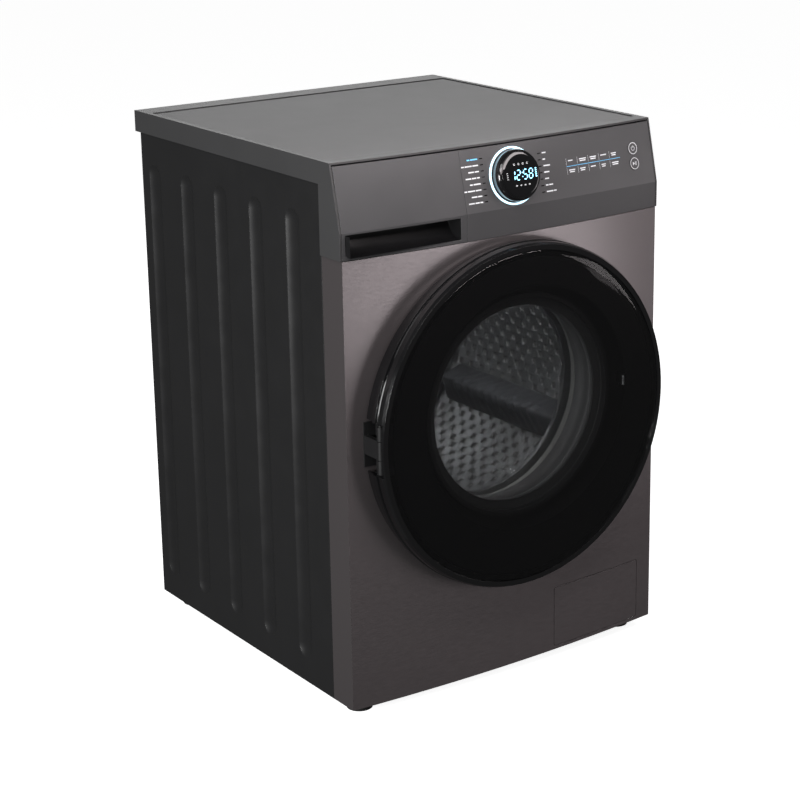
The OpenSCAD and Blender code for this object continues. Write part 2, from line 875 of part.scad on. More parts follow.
// Inner cover of the door, which clamps the bowl
module door_inner_frame() {
  color("#1a1a1b") difference() {
    union() {
      on_door() bar_y(inner_r, y_inner, y_inner + inner_t, fn_ring);
      on_axis() ring_y(bowl_r + 22, bowl_r + 16, y_inner - 12, y_inner + 1);
    }
    on_axis() bar_y(bowl_r + 1, y_inner - 1, y_inner + 10, fn_ring);
    span([-door_r - 1, y_inner - 1, door_z - notch_half], [notch_x, y_corner, door_z + notch_half]);
    span([latch_x - latch_w / 2, y_inner - 1, z_axis - latch_h / 2],
         [latch_x + latch_w / 2, y_corner, z_axis + latch_h / 2]);
  }
}

bowl_end = y_inner + bowl_depth;
bowl_taper = 24;

// Clear glass bowl: a flange, a sloping side and a gently domed end
module door_bowl() {
  r0 = bowl_r;
  r1 = bowl_r - bowl_taper;
  color("#c8d2d4", 0.35) on_axis() turned_y() polygon([
    [bowl_r + 15, y_inner - bowl_t], [bowl_r + 15, y_inner - 0.2], [r0, y_inner - 0.2], [r0, y_inner + 10],
    [r1 + 3, bowl_end - 10], [r1 - 4, bowl_end - 3], [r1 - 20, bowl_end], [0, bowl_end + 3],
    [0, bowl_end + 3 - bowl_t], [r1 - 21, bowl_end - bowl_t], [r1 - 7, bowl_end - 3 - bowl_t],
    [r1 - 1.5, bowl_end - 13], [r0 - bowl_t, y_inner + 8], [r0 - bowl_t, y_inner - bowl_t]
  ]);
}

// Door half of the hinge: two knuckles, webs and the leaf under the inner cover
module hinge_leaf() {
  color("#77797c") difference() {
    union() {
      for (z = [door_z - hinge_half, door_z + arm_half + 1]) {
        translate([hinge_x, hinge_y, z]) cylinder(r = knuckle_r, h = hinge_half - arm_half - 1);
        span([hinge_x, hinge_y - 3, z], [hinge_x + 12, hinge_y + 3, z + hinge_half - arm_half - 1]);
        span([hinge_x + 9, hinge_y - 3, z], [hinge_x + 12, y_inner + inner_t + 3, z + hinge_half - arm_half - 1]);
      }
      span([hinge_x + 9, y_inner + inner_t, door_z - hinge_half], [leaf_end, y_inner + inner_t + 2.6, door_z + hinge_half]);
    }
    span([hinge_x, y_mid - 20, door_z - arm_half - 1], [hinge_x + 16, y_corner, door_z + arm_half + 1]);
    translate([hinge_x, hinge_y, door_z - hinge_half - 1]) cylinder(r = pin_r + fit, h = 2 * hinge_half + 2);
  }
}

// Cabinet half of the hinge: a knuckle, its arm and a foot along the bowed front
module hinge_bracket() {
  color("#77797c") difference() {
    union() {
      translate([hinge_x, hinge_y, door_z - arm_half]) cylinder(r = knuckle_r, h = 2 * arm_half);
      difference() {
        intersection() {
          union() {
            span([hinge_x - 4, hinge_y, door_z - arm_half], [hinge_x + 4, y_corner, door_z + arm_half]);
            intersection() {
              span([hinge_x - 5, y_mid - 5, door_z - hinge_half + 2], [notch_x - 2, y_corner, door_z + hinge_half - 2]);
              behind_bow(-2);
            }
          }
          span([-x_lid, hinge_y, 0], [0, y_corner, body_h]);
        }
        behind_bow(0);
      }
    }
    translate([hinge_x, hinge_y, door_z - arm_half - 1]) cylinder(r = pin_r, h = 2 * arm_half + 2);
  }
}

// Hinge pin with a small head
module hinge_pin() {
  color("#b9bcc0") translate([hinge_x, hinge_y, door_z - hinge_half - 1.5]) {
    cylinder(r = pin_r, h = 2 * hinge_half + 3);
    translate([0, 0, 2 * hinge_half + 2]) cylinder(r = pin_r + 1.5, h = 2);
  }
}

hook_y = y_inner - 7;
hook_t = 5;

// Sprung latch hook, turning on its own small pin in the door
module latch_hook() {
  color("#c9ccd0") translate([latch_x, 0, z_axis]) {
    translate([0, hook_y, -8]) cylinder(r = 5, h = 16);
    span([-hook_t / 2, hook_y, -8], [hook_t / 2, y_inner + 26, 8]);
    span([-hook_t / 2 - 2, y_inner + 22, -8], [hook_t / 2, y_inner + 26, 8]);
  }
}

lock_y = y_corner - 3;

// Door lock behind the front panel
module door_lock() {
  color("#e3e3df") difference() {
    span([latch_x - 18, lock_y, z_axis - 30], [latch_x + 26, lock_y + 26, z_axis + 30]);
    span([latch_x - latch_w / 2, lock_y - 1, z_axis - latch_h / 2], [latch_x + latch_w / 2, lock_y + 14, z_axis + latch_h / 2]);
  }
}

lip_r = mouth_r + 7;
lip_y = tub_y0 - 14;
gasket_t = 3;

// Rubber bellows between the porthole and the tub's mouth
module door_gasket() {
  front = y_mid - 1;
  fold_r = mouth_r - 5;
  outer = port_r - 0.4;
  color("#6f7275") on_axis() turned_y() union() {
    translate([outer - 6, front]) square([6, 16]);
    translate([bowl_r + 0.8, front + 3]) square([outer - bowl_r - 2, gasket_t]);
    translate([outer - gasket_t, front + 15]) square([gasket_t, lip_y - 18 - front - 15]);
    translate([fold_r, lip_y - 20]) square([outer - fold_r, gasket_t]);
    translate([fold_r, lip_y - 20]) square([gasket_t, 17]);
    translate([fold_r, lip_y - 5]) square([lip_r + 4 - fold_r, gasket_t]);
    translate([lip_r + 0.4, lip_y - 5]) square([3.6, 14]);
  }
}

// Steel band that holds the gasket on the tub's mouth
module gasket_clamp() {
  color("#b5b8bb") on_axis() ring_y(lip_r + 5.6, lip_r + 4.2, lip_y + 1, lip_y + 8);
}

// ---------- service flap, pump ----------

flap_pin_x = flap_x + flap_w - 7;
flap_pin_y = bow_y(flap_pin_x) + 4;
filter_x = flap_x + flap_w / 2;
filter_z = flap_z + flap_h / 2;
filter_y = y_corner + 8;
filter_r = 22;
pump_r = 30;
pump_len = 96;

// Service flap, bowed as the front, with its hinge barrel
module service_flap() {
  color("#5b5657") {
    intersection() {
      difference() {
        behind_bow(0);
        behind_bow(2);
      }
      plate_y(y_mid - 1, y_corner) round_rect([flap_x, flap_z], [flap_x + flap_w, flap_z + flap_h], flap_corner);
    }
    translate([flap_pin_x, flap_pin_y, flap_z + 6]) cylinder(r = 3, h = flap_h - 12);
    span([flap_pin_x - 2, bow_y(flap_pin_x) + 1.9, flap_z + 8], [flap_pin_x + 2, flap_pin_y, flap_z + flap_h - 8]);
  }
}

// Screw-in pump filter with its grip
module pump_filter() {
  color("#2c2f33") translate([filter_x, 0, filter_z]) {
    bar_y(pump_r + 4, filter_y, filter_y + 7, 64);
    span([-pump_r + 6, filter_y - 10, -4], [pump_r - 6, filter_y + 1, 4]);
    bar_y(filter_r, filter_y + 6, filter_y + 20, 64);
    difference() {
      bar_y(filter_r, filter_y + 19, filter_y + 56, 64);
      bar_y(filter_r - 3, filter_y + 24, filter_y + 57, 64);
      for (a = [0:45:135]) {
        rotate([0, a, 0]) span([-filter_r - 1, filter_y + 26, -4], [filter_r + 1, filter_y + 50, 4]);
      }
    }
  }
}

sump_x = 60;
sump_y = tub_y0 + 80;
sump_low = z_axis - tub_out - 20;
sump_half = 74;
sump_len = 176;
sump_pipe = 16;
pump_top = filter_z + 44;

// Drain pump: filter bore, motor behind it and the duct up to the sump hose
module drain_pump() {
  color("#d8d9d6") difference() {
    union() {
      translate([filter_x, 0, filter_z]) {
        bar_y(pump_r, filter_y + 8, filter_y + pump_len, 64);
        bar_y(pump_r - 4, filter_y + pump_len, filter_y + pump_len + 52, 64);
      }
      translate([0, sump_y, filter_z]) bar_x(sump_pipe + 2, sump_x, filter_x);
      translate([sump_x, sump_y, filter_z]) sphere(r = sump_pipe + 2);
      translate([sump_x, sump_y, filter_z]) cylinder(r = sump_pipe, h = pump_top - filter_z);
      span([filter_x - 26, filter_y + 60, z_floor + tray_t], [filter_x + 26, filter_y + 70, filter_z]);
    }
    translate([filter_x, 0, filter_z]) bar_y(filter_r + fit, filter_y + 7, filter_y + 75, 64);
    translate([sump_x, sump_y, filter_z]) cylinder(r = sump_pipe - 3, h = 60);
    translate([0, sump_y, filter_z]) bar_x(sump_pipe - 3, sump_x, filter_x - 10);
  }
}

// Bellows from the tub's sump down to the pump
module sump_hose() {
  color("#202022") bellows(sump_x, sump_y, pump_top - 12, sump_low - 8, sump_pipe + 3.4, 4);
}

// ---------- tub ----------

// Round wall of the tub between two places, with a bolting flange
module tub_wall(y0, y1, flange_y) {
  on_axis() {
    bar_y(tub_out, y0, y1, fn_ring);
    bar_y(tub_out + tub_flange, flange_y, flange_y + tub_flange, fn_ring);
  }
}

// Lug that a damper rod hangs from
module damper_lug(y) {
  both_sides() span([damper_x - 12, y - 12, damper_lug_z], [damper_x + 12, y + 12, damper_lug_z + 26]);
}

// The cavity of the sump under the front half, grown by a wall
module sump_well(wall) {
  span([-sump_half - wall, tub_y0 + tub_t - wall, sump_low + tub_t - wall],
       [sump_half + wall, tub_y0 + sump_len + wall, z_axis - tub_in + 30]);
}

// Front half of the tub: mouth, sump, hose stubs and front damper lugs
module tub_front() {
  color("#c9cbc8") difference() {
    union() {
      tub_wall(tub_y0, tub_split, tub_split - tub_flange);
      on_axis() ring_y(lip_r, lip_r - 4, lip_y, tub_y0 + 1);
      sump_well(tub_t);
      damper_lug(damper_ys[0]);
      translate([hose_x, hose_y, z_axis]) cylinder(r = hose_r - 3, h = inlet_pipe_top - z_axis);
      translate([sump_x, sump_y, sump_low - 20]) cylinder(r = sump_pipe, h = 22);
    }
    on_axis() bar_y(tub_in, tub_y0 + tub_t, tub_split + 1, fn_ring);
    on_axis() bar_y(lip_r - 4, lip_y - 1, tub_y0 + tub_t + 1, fn_ring);
    sump_well(0);
    translate([hose_x, hose_y, z_axis]) cylinder(r = hose_r - 6, h = 250);
    translate([sump_x, sump_y, sump_low - 21]) cylinder(r = sump_pipe - 3, h = 40);
    for (x = [-heater_half, heater_half]) {
      translate([x, 0, heater_z]) bar_y(heater_r, tub_y0 - 1, tub_y0 + tub_t + 1);
    }
  }
}

rib_count = 12;
rib_h = 14;

// Rear half of the tub: ribbed back, bearing hub, spring lugs and motor lugs
module tub_rear() {
  color("#c9cbc8") difference() {
    union() {
      tub_wall(tub_split, tub_y1 + tub_back_t, tub_split);
      on_axis() {
        bar_y(hub_r, tub_y1 - 5, hub_y1, 64);
        for (i = [0:rib_count - 1]) {
          rotate([0, i * 360 / rib_count, 0]) span([0, tub_y1, -2], [tub_out - 6, tub_y1 + tub_back_t + rib_h, 2]);
        }
      }
      damper_lug(damper_ys[1]);
      both_sides() span([spring_x - 50, spring_y - 10, spring_low - 8], [spring_x + 12, spring_y + 10, spring_low]);
      for (y = [motor_y0 + 6, motor_y1 - 20]) {
        span([motor_x - 40, y, motor_z + motor_pad], [motor_x + 40, y + 14, z_axis - tub_in + 30]);
      }
    }
    difference() {
      on_axis() bar_y(tub_in, tub_split - 1, tub_y1, fn_ring);
      on_axis() bar_y(hub_r, tub_y1 - 5, tub_y1 + 1, 64);
    }
    on_axis() {
      bar_y(shaft_r + 2, tub_y1 - 6, hub_y1 + 1);
      bar_y(bearing_r, tub_y1 - 6, tub_y1 + seal_w + bearing_w - 5, 64);
      bar_y(bearing_r, hub_y1 - bearing_w, hub_y1 + 1, 64);
    }
    both_sides() translate([spring_x, spring_y, spring_low - 9]) cylinder(r = 3, h = 10);
  }
}

// A ring bearing with grooved faces
module bearing(y) {
  on_axis() turned_y(64) difference() {
    translate([shaft_r + fit, y]) square([bearing_r - shaft_r - fit, bearing_w]);
    for (end = [y, y + bearing_w]) {
      translate([(bearing_r + shaft_r) / 2 - 3, end - 0.8]) square([6, 1.6]);
    }
  }
}

module drum_bearings() {
  color("#b8bbbf") {
    bearing(tub_y1 + seal_w - 5);
    bearing(hub_y1 - bearing_w);
  }
}

module shaft_seal() {
  color("#1a1a1a") on_axis() ring_y(bearing_r, shaft_r + fit, tub_y1 - 5, tub_y1 - 5 + seal_w, 64);
}

weight_t = 38;
weight_in = lip_r + 12;

// Two concrete weights on the tub's front, above and below the mouth
module counterweights() {
  color("#9b9a96") on_axis() {
    rotate([-90, 0, 0]) for (start = [30, 210]) {
      difference() {
        rotate_extrude(angle = 120, start = start, $fn = fn_ring)
          translate([weight_in, tub_y0 - weight_t]) square([tub_in - 8 - weight_in, weight_t]);
        for (a = [start + 20, start + 100]) {
          rotate([0, 0, a]) translate([(weight_in + tub_in) / 2 - 4, 0, tub_y0 - weight_t - 1])
            cylinder(r = 5, h = weight_t + 2);
        }
      }
    }
  }
}

heater_half = 26;
heater_r = 4;
heater_z = sump_low + 13;
heater_len = 140;

// Tubular heater: two straight legs, a bend and the sealing flange
module heater() {
  color("#a9adb2") {
    for (x = [-heater_half, heater_half]) {
      translate([x, 0, heater_z]) bar_y(heater_r - fit, tub_y0 - 18, tub_y0 + heater_len);
    }
    translate([0, tub_y0 + heater_len, heater_z])
      rotate_extrude(angle = 180, $fn = 64) translate([heater_half, 0]) circle(heater_r - fit);
    span([-heater_half - 10, tub_y0 - 10, heater_z - 8], [heater_half + 10, tub_y0, heater_z + 8]);
  }
}

// ---------- drum ----------

drum_t = 1.2;
hole_rows = 6;
hole_columns = 18;
hole_r = 3;
lifter_angles = [28, 148, 268];

// Perforated steel drum with its rolled mouth
module drum() {
  color("#b9bdc1") on_axis() difference() {
    turned_y() union() {
      translate([drum_r - drum_t, drum_y0]) square([drum_t, drum_len]);
      translate([mouth_r, drum_y0]) square([drum_r - mouth_r, drum_t]);
      translate([mouth_r, drum_y0]) square([drum_t, 8]);
      translate([0, drum_y1 - drum_t]) square([drum_r, drum_t]);
      translate([drum_r - 2 * drum_t, drum_y1 - 6]) square([2 * drum_t, 6]);
    }
    for (i = [0:hole_columns - 1], j = [0:hole_rows - 1]) {
      rotate([0, (i + 0.5) * 360 / hole_columns, 0])
        translate([drum_r - 10, drum_y0 + (j + 0.7) * drum_len / (hole_rows + 0.4), 0])
          rotate([0, 90, 0]) cylinder(r = hole_r, h = 20, $fn = 16);
    }
  }
}

lifter_h = 56;
lifter_w = 66;
lifter_len = drum_len - 60;

// Three hollow lifters, each a ridge with a round crest
module drum_lifters() {
  color("#54585c") on_axis() for (a = lifter_angles) {
    rotate([0, a, 0]) intersection() {
      plate_y(drum_y0 + 30, drum_y0 + 30 + lifter_len) {
        polygon([[drum_r, -lifter_w / 2], [drum_r - 14, -lifter_w / 2], [drum_r - lifter_h + 12, -12],
                 [drum_r - lifter_h + 12, 12], [drum_r - 14, lifter_w / 2], [drum_r, lifter_w / 2]]);
        translate([drum_r - lifter_h + 13, 0]) circle(12.4);
      }
      bar_y(drum_r - drum_t - 0.3, drum_y0, drum_y1, fn_ring);
    }
  }
}

pulley_y0 = hub_y1 + 6;
belt_w = 14;
pulley_w = 18;

// Three-armed spider with the drum shaft cast in
module drum_spider() {
  color("#8e9296") on_axis() {
    bar_y(42, drum_y1, drum_y1 + spider_t, 64);
    for (i = [0:2]) {
      rotate([0, i * 120 + 30, 0]) span([0, drum_y1, -17], [drum_r - 14, drum_y1 + spider_t - 4, 17]);
    }
    bar_y(shaft_r, drum_y1, pulley_y0 + pulley_w, 64);
  }
}

// Large spoked pulley on the drum shaft
module drum_pulley() {
  color("#9a9da0") on_axis() difference() {
    union() {
      ring_y(pulley_r, pulley_r - 7, pulley_y0, pulley_y0 + pulley_w);
      bar_y(shaft_r + 10, pulley_y0, pulley_y0 + pulley_w, 64);
      for (i = [0:5]) {
        rotate([0, i * 60, 0]) span([shaft_r + 5, pulley_y0 + 5, -8], [pulley_r - 4, pulley_y0 + 11, 8]);
      }
    }
    bar_y(shaft_r, pulley_y0 - 1, pulley_y0 + pulley_w + 1, 64);
  }
}

// ---------- drive ----------

// Outline around both pulleys, standing off by an amount
module belt_outline(off) {
  r1 = pulley_r + off;
  r2 = motor_pulley_r + off;
  drop = z_axis - motor_z;
  reach = sqrt(pow(motor_x, 2) + pow(drop, 2));
  heading = atan2(-drop, motor_x);
  spread = acos((r1 - r2) / reach);
  circle(r1, $fn = fn_ring);
  translate([motor_x, -drop]) circle(r2, $fn = 64);
  polygon([for (side = [-1, 1], big = side < 0 ? [1, 0] : [0, 1])
    let (a = heading + side * spread, r = big == 1 ? r1 : r2)
      [(big == 1 ? 0 : motor_x) + r * cos(a), (big == 1 ? 0 : -drop) + r * sin(a)]]);
}

belt_gap = 0.3;
belt_t = 3;

// Ribbed belt around both pulleys
module drive_belt() {
  y0 = pulley_y0 + (pulley_w - belt_w) / 2;
  color("#161616") on_axis() plate_y(y0, y0 + belt_w) difference() {
    belt_outline(belt_gap + belt_t);
    belt_outline(belt_gap);
  }
}

motor_shaft_r = 6;

// Drive motor hung under the tub, with pads and end caps
module drive_motor() {
  color("#6f7478") difference() {
    union() {
      translate([motor_x, 0, motor_z]) {
        bar_y(motor_r, motor_y0 + 20, motor_y1 - 20, 64);
        bar_y(motor_r - 8, motor_y0, motor_y1, 64);
        bar_y(16, motor_y1 - 1, motor_y1 + 8);
      }
      for (y = [motor_y0 + 6, motor_y1 - 20]) {
        span([motor_x - 36, y, motor_z], [motor_x + 36, y + 14, motor_z + motor_pad]);
      }
    }
    translate([motor_x, 0, motor_z]) bar_y(motor_shaft_r + fit, motor_y1 - 30, motor_y1 + 9);
  }
}

// Motor shaft with its small pulley
module motor_pulley() {
  color("#a5a8ab") translate([motor_x, 0, motor_z]) {
    bar_y(motor_shaft_r, motor_y1 - 28, pulley_y0 + pulley_w);
    bar_y(motor_pulley_r, pulley_y0, pulley_y0 + pulley_w, 64);
  }
}

// ---------- suspension ----------

coil_r = 11;
coil_wire = 2;
coil_turns = 11;
coil_steps = 14;
coil_sides = 6;

// Points of one ring of the coil's wire
function coil_ring(i, h) =
  let (a = i * 360 / coil_steps, z = h * i / (coil_turns * coil_steps))
  [for (j = [0:coil_sides - 1]) let (b = j * 360 / coil_sides)
    [(coil_r + coil_wire * cos(b)) * cos(a), (coil_r + coil_wire * cos(b)) * sin(a), z + coil_wire * sin(b)]];

// A coil spring of a given height, swept along its helix
module coil(h) {
  rings = coil_turns * coil_steps;
  points = [for (i = [0:rings]) each coil_ring(i, h)];
  walls = [for (i = [0:rings - 1], j = [0:coil_sides - 1]) let (k = (j + 1) % coil_sides)
    [i * coil_sides + j, (i + 1) * coil_sides + j, (i + 1) * coil_sides + k, i * coil_sides + k]];
  first = [for (j = [0:coil_sides - 1]) j];
  last = [for (j = [coil_sides - 1:-1:0]) rings * coil_sides + j];
  polyhedron(points, concat(walls, [first, last]));
}

module suspension_springs() {
  rise = 3;
  color("#9da0a3") both_sides() translate([spring_x, spring_y, spring_low + coil_wire + rise])
    coil(spring_top - spring_low - 2 * coil_wire - 2 * rise);
}

cylinder_r = 15;
cylinder_bore = 12;
cylinder_top = 158;
piston_z = 104;

// Damper cylinders standing on the base tray
module damper_cylinders() {
  color("#2a2a2b") for (y = damper_ys) {
    both_sides() translate([damper_x, y, 0]) difference() {
      translate([0, 0, z_floor + tray_t]) cylinder(r = cylinder_r, h = cylinder_top - z_floor - tray_t);
      translate([0, 0, z_floor + 20]) cylinder(r = cylinder_bore, h = cylinder_top);
    }
  }
}

// Damper rods and pistons under the tub's lugs
module damper_rods() {
  color("#c3c6c9") for (y = damper_ys) {
    both_sides() translate([damper_x, y, 0]) {
      translate([0, 0, piston_z]) cylinder(r = cylinder_bore - fit, h = 18);
      translate([0, 0, piston_z]) cylinder(r = 5, h = damper_lug_z - piston_z);
    }
  }
}

// ---------- everything ----------

left_side_panel();
right_side_panel();
front_panel();
rear_panel();
rear_cover();
base_tray();
front_brace();
spring_hangers();
lid_frame();
lid_panel();
control_panel();
control_board();
knob();
knob_light_ring();
display_post();
display_lens();
power_button();
start_button();
drawer_front();
drawer_tray();
siphon_cap();
dispenser_housing();
dispenser_hose();
inlet_valve();
pressure_switch();
hinge_pin();
cable_gland();
drain_grommet();
door_frame();
door_glass();
door_inner_frame();
door_bowl();
hinge_leaf();
hinge_bracket();
latch_hook();
door_lock();
door_gasket();
gasket_clamp();
service_flap();
pump_filter();
drain_pump();
sump_hose();
tub_front();
tub_rear();
counterweights();
heater();
drum();
drum_lifters();
drum_spider();
drum_pulley();
drum_bearings();
shaft_seal();
drive_belt();
drive_motor();
motor_pulley();
suspension_springs();
damper_cylinders();
damper_rods();
levelling_feet();
panel_screws();
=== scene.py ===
"""Looks of the front load washing machine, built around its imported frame."""
import json
import math

import bmesh
import bpy
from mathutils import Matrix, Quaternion, Vector


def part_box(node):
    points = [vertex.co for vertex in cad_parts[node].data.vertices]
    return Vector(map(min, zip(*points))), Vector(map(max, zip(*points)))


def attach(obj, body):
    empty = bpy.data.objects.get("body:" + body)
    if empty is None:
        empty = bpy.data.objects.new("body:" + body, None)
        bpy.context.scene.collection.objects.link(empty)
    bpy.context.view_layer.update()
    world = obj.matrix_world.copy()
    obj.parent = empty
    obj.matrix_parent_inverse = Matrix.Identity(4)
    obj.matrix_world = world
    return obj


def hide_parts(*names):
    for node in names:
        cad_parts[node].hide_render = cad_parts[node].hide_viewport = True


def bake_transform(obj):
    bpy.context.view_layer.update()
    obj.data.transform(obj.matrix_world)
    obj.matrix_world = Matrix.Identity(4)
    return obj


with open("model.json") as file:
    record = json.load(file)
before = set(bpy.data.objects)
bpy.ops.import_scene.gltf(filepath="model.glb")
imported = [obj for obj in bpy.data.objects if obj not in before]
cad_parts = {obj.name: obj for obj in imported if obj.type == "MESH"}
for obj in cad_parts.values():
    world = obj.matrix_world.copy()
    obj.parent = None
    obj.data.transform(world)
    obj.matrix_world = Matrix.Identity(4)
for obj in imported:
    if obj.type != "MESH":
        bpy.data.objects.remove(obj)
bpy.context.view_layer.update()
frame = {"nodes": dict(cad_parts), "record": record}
NODES = frame["nodes"]
MM = 0.001
RIGHT, BACK, UP = Vector((1, 0, 0)), Vector((0, 1, 0)), Vector((0, 0, 1))


# ---------- materials ----------

NOISE_SPAN = (0.3, 0.7)
EDGE_R = 0.7 * MM
PLAIN = (1, 1, 1)


def new_material(name):
    """An empty node material with its Principled shader."""
    material = bpy.data.materials.new(name)
    material.use_nodes = True
    tree = material.node_tree
    return material, tree, tree.nodes["Principled BSDF"]


def set_inputs(shader, values):
    """Writes plain values on the shader's own sockets."""
    for socket, value in values.items():
        shader.inputs[socket].default_value = value


def place_texture(tree, stretch):
    """Object coordinates, stretched, for a texture that sticks to the piece."""
    coords = tree.nodes.new("ShaderNodeTexCoord")
    mapping = tree.nodes.new("ShaderNodeMapping")
    mapping.inputs["Scale"].default_value = stretch
    tree.links.new(coords.outputs["Object"], mapping.inputs["Vector"])
    return mapping.outputs["Vector"]


def noise(tree, vector, scale, detail=4.0, rough=0.5):
    """A noise texture's strength output."""
    texture = tree.nodes.new("ShaderNodeTexNoise")
    texture.inputs["Scale"].default_value = scale
    texture.inputs["Detail"].default_value = detail
    texture.inputs["Roughness"].default_value = rough
    tree.links.new(vector, texture.inputs["Vector"])
    return texture.outputs["Fac"]


def remap(tree, value, low, high, source=NOISE_SPAN):
    """A texture's strength turned into another range."""
    node = tree.nodes.new("ShaderNodeMapRange")
    node.inputs["From Min"].default_value = source[0]
    node.inputs["From Max"].default_value = source[1]
    node.inputs["To Min"].default_value = low
    node.inputs["To Max"].default_value = high
    tree.links.new(value, node.inputs["Value"])
    return node.outputs["Result"]


def tint(tree, value, dark, light):
    """A texture's strength turned into a colour between two."""
    ramp = tree.nodes.new("ShaderNodeValToRGB")
    for stop, position, color in zip(ramp.color_ramp.elements, NOISE_SPAN, (dark, light)):
        stop.position = position
        stop.color = (*color, 1)
    tree.links.new(value, ramp.inputs["Fac"])
    return ramp.outputs["Color"]


def bump(tree, shader, height, strength, distance, edge=EDGE_R):
    """Small relief on the shader's normal, over edges rounded to a small radius."""
    rounding = tree.nodes.new("ShaderNodeBevel")
    rounding.samples = 6
    rounding.inputs["Radius"].default_value = edge
    node = tree.nodes.new("ShaderNodeBump")
    tree.links.new(rounding.outputs["Normal"], node.inputs["Normal"])
    node.inputs["Strength"].default_value = strength
    node.inputs["Distance"].default_value = distance
    tree.links.new(height, node.inputs["Height"])
    tree.links.new(node.outputs["Normal"], shader.inputs["Normal"])


def shades(color, spread):
    """A darker and a lighter neighbour of a colour."""
    return [tuple(min(1.0, part * factor) for part in color) for factor in (1 - spread, 1 + spread)]


def grained(name, color, rough, grain, depth, spread=0.08, edge=EDGE_R, uneven=0.12, **values):
    """Cloudy colour, uneven gloss and a fine relief: plastics, rubber and enamel."""
    material, tree, shader = new_material(name)
    vector = place_texture(tree, PLAIN)
    dark, light = shades(color, spread)
    tree.links.new(tint(tree, noise(tree, vector, scale=9.0), dark, light), shader.inputs["Base Color"])
    cloud = noise(tree, vector, scale=23.0, detail=6.0)
    gloss = remap(tree, cloud, rough * (1 - uneven), min(1.0, rough * (1 + uneven)))
    tree.links.new(gloss, shader.inputs["Roughness"])
    pimples = noise(tree, vector, scale=grain, detail=3.0, rough=0.6)
    bump(tree, shader, pimples, strength=0.35, distance=depth, edge=edge)
    set_inputs(shader, values)
    return material


def brushed(name, color, rough, stretch, depth=0.00003, spread=0.10, **values):
    """Long fine streaks in colour, gloss and relief."""
    material, tree, shader = new_material(name)
    vector = place_texture(tree, stretch)
    streak = noise(tree, vector, scale=90.0, detail=5.0, rough=0.65)
    dark, light = shades(color, spread)
    tree.links.new(tint(tree, streak, dark, light), shader.inputs["Base Color"])
    tree.links.new(remap(tree, streak, rough * 0.8, min(1.0, rough * 1.25)), shader.inputs["Roughness"])
    bump(tree, shader, streak, strength=0.25, distance=depth)
    set_inputs(shader, values)
    return material


def smooth_gloss(name, color, rough, relief=True, **values):
    """Near-flawless gloss with faint handling marks."""
    material, tree, shader = new_material(name)
    vector = place_texture(tree, PLAIN)
    dark, light = shades(color, 0.05)
    tree.links.new(tint(tree, noise(tree, vector, scale=6.0), dark, light), shader.inputs["Base Color"])
    smudge = noise(tree, vector, scale=31.0, detail=8.0, rough=0.7)
    tree.links.new(remap(tree, smudge, rough * 0.7, rough * 1.6), shader.inputs["Roughness"])
    if relief:
        bump(tree, shader, noise(tree, vector, scale=60.0, detail=2.0), strength=0.1, distance=0.00002)
    set_inputs(shader, values)
    return material


def clear_gloss(name, color, rough, cover):
    """See-through glass as a thin gloss that covers part of what is behind it."""
    return smooth_gloss(name, color, rough, relief=False, **{"Alpha": cover, "Specular IOR Level": 0.9})


def concrete():
    """Cast concrete: blotches, grains and open pores."""
    material, tree, shader = new_material("concrete")
    vector = place_texture(tree, PLAIN)
    blotch = noise(tree, vector, scale=18.0, detail=8.0, rough=0.7)
    tree.links.new(tint(tree, blotch, (0.24, 0.235, 0.22), (0.42, 0.41, 0.39)), shader.inputs["Base Color"])
    pores = tree.nodes.new("ShaderNodeTexVoronoi")
    pores.inputs["Scale"].default_value = 160.0
    tree.links.new(vector, pores.inputs["Vector"])
    pits = remap(tree, pores.outputs["Distance"], 0.0, 1.0, source=(0.0, 0.35))
    bump(tree, shader, pits, strength=0.6, distance=0.8 * MM)
    set_inputs(shader, {"Roughness": 0.92})
    return material


def circuit_board():
    """Green solder mask over fine copper tracks."""
    material, tree, shader = new_material("circuit_board")
    tracks = tree.nodes.new("ShaderNodeTexBrick")
    tracks.inputs["Scale"].default_value = 120.0
    tracks.inputs["Mortar Size"].default_value = 0.03
    tracks.inputs["Color1"].default_value = (0.012, 0.10, 0.045, 1)
    tracks.inputs["Color2"].default_value = (0.016, 0.13, 0.055, 1)
    tracks.inputs["Mortar"].default_value = (0.05, 0.26, 0.10, 1)
    tree.links.new(place_texture(tree, PLAIN), tracks.inputs["Vector"])
    tree.links.new(tracks.outputs["Color"], shader.inputs["Base Color"])
    bump(tree, shader, tracks.outputs["Fac"], strength=0.3, distance=0.1 * MM)
    set_inputs(shader, {"Roughness": 0.38})
    return material


def lit(name, color, strength):
    """A lit print or light guide, a little uneven along its length."""
    material, tree, shader = new_material(name)
    dark, light = shades(color, 0.12)
    glow = tint(tree, noise(tree, place_texture(tree, PLAIN), scale=40.0), dark, light)
    tree.links.new(glow, shader.inputs["Base Color"])
    tree.links.new(glow, shader.inputs["Emission Color"])
    set_inputs(shader, {"Emission Strength": strength, "Roughness": 0.35})
    return material


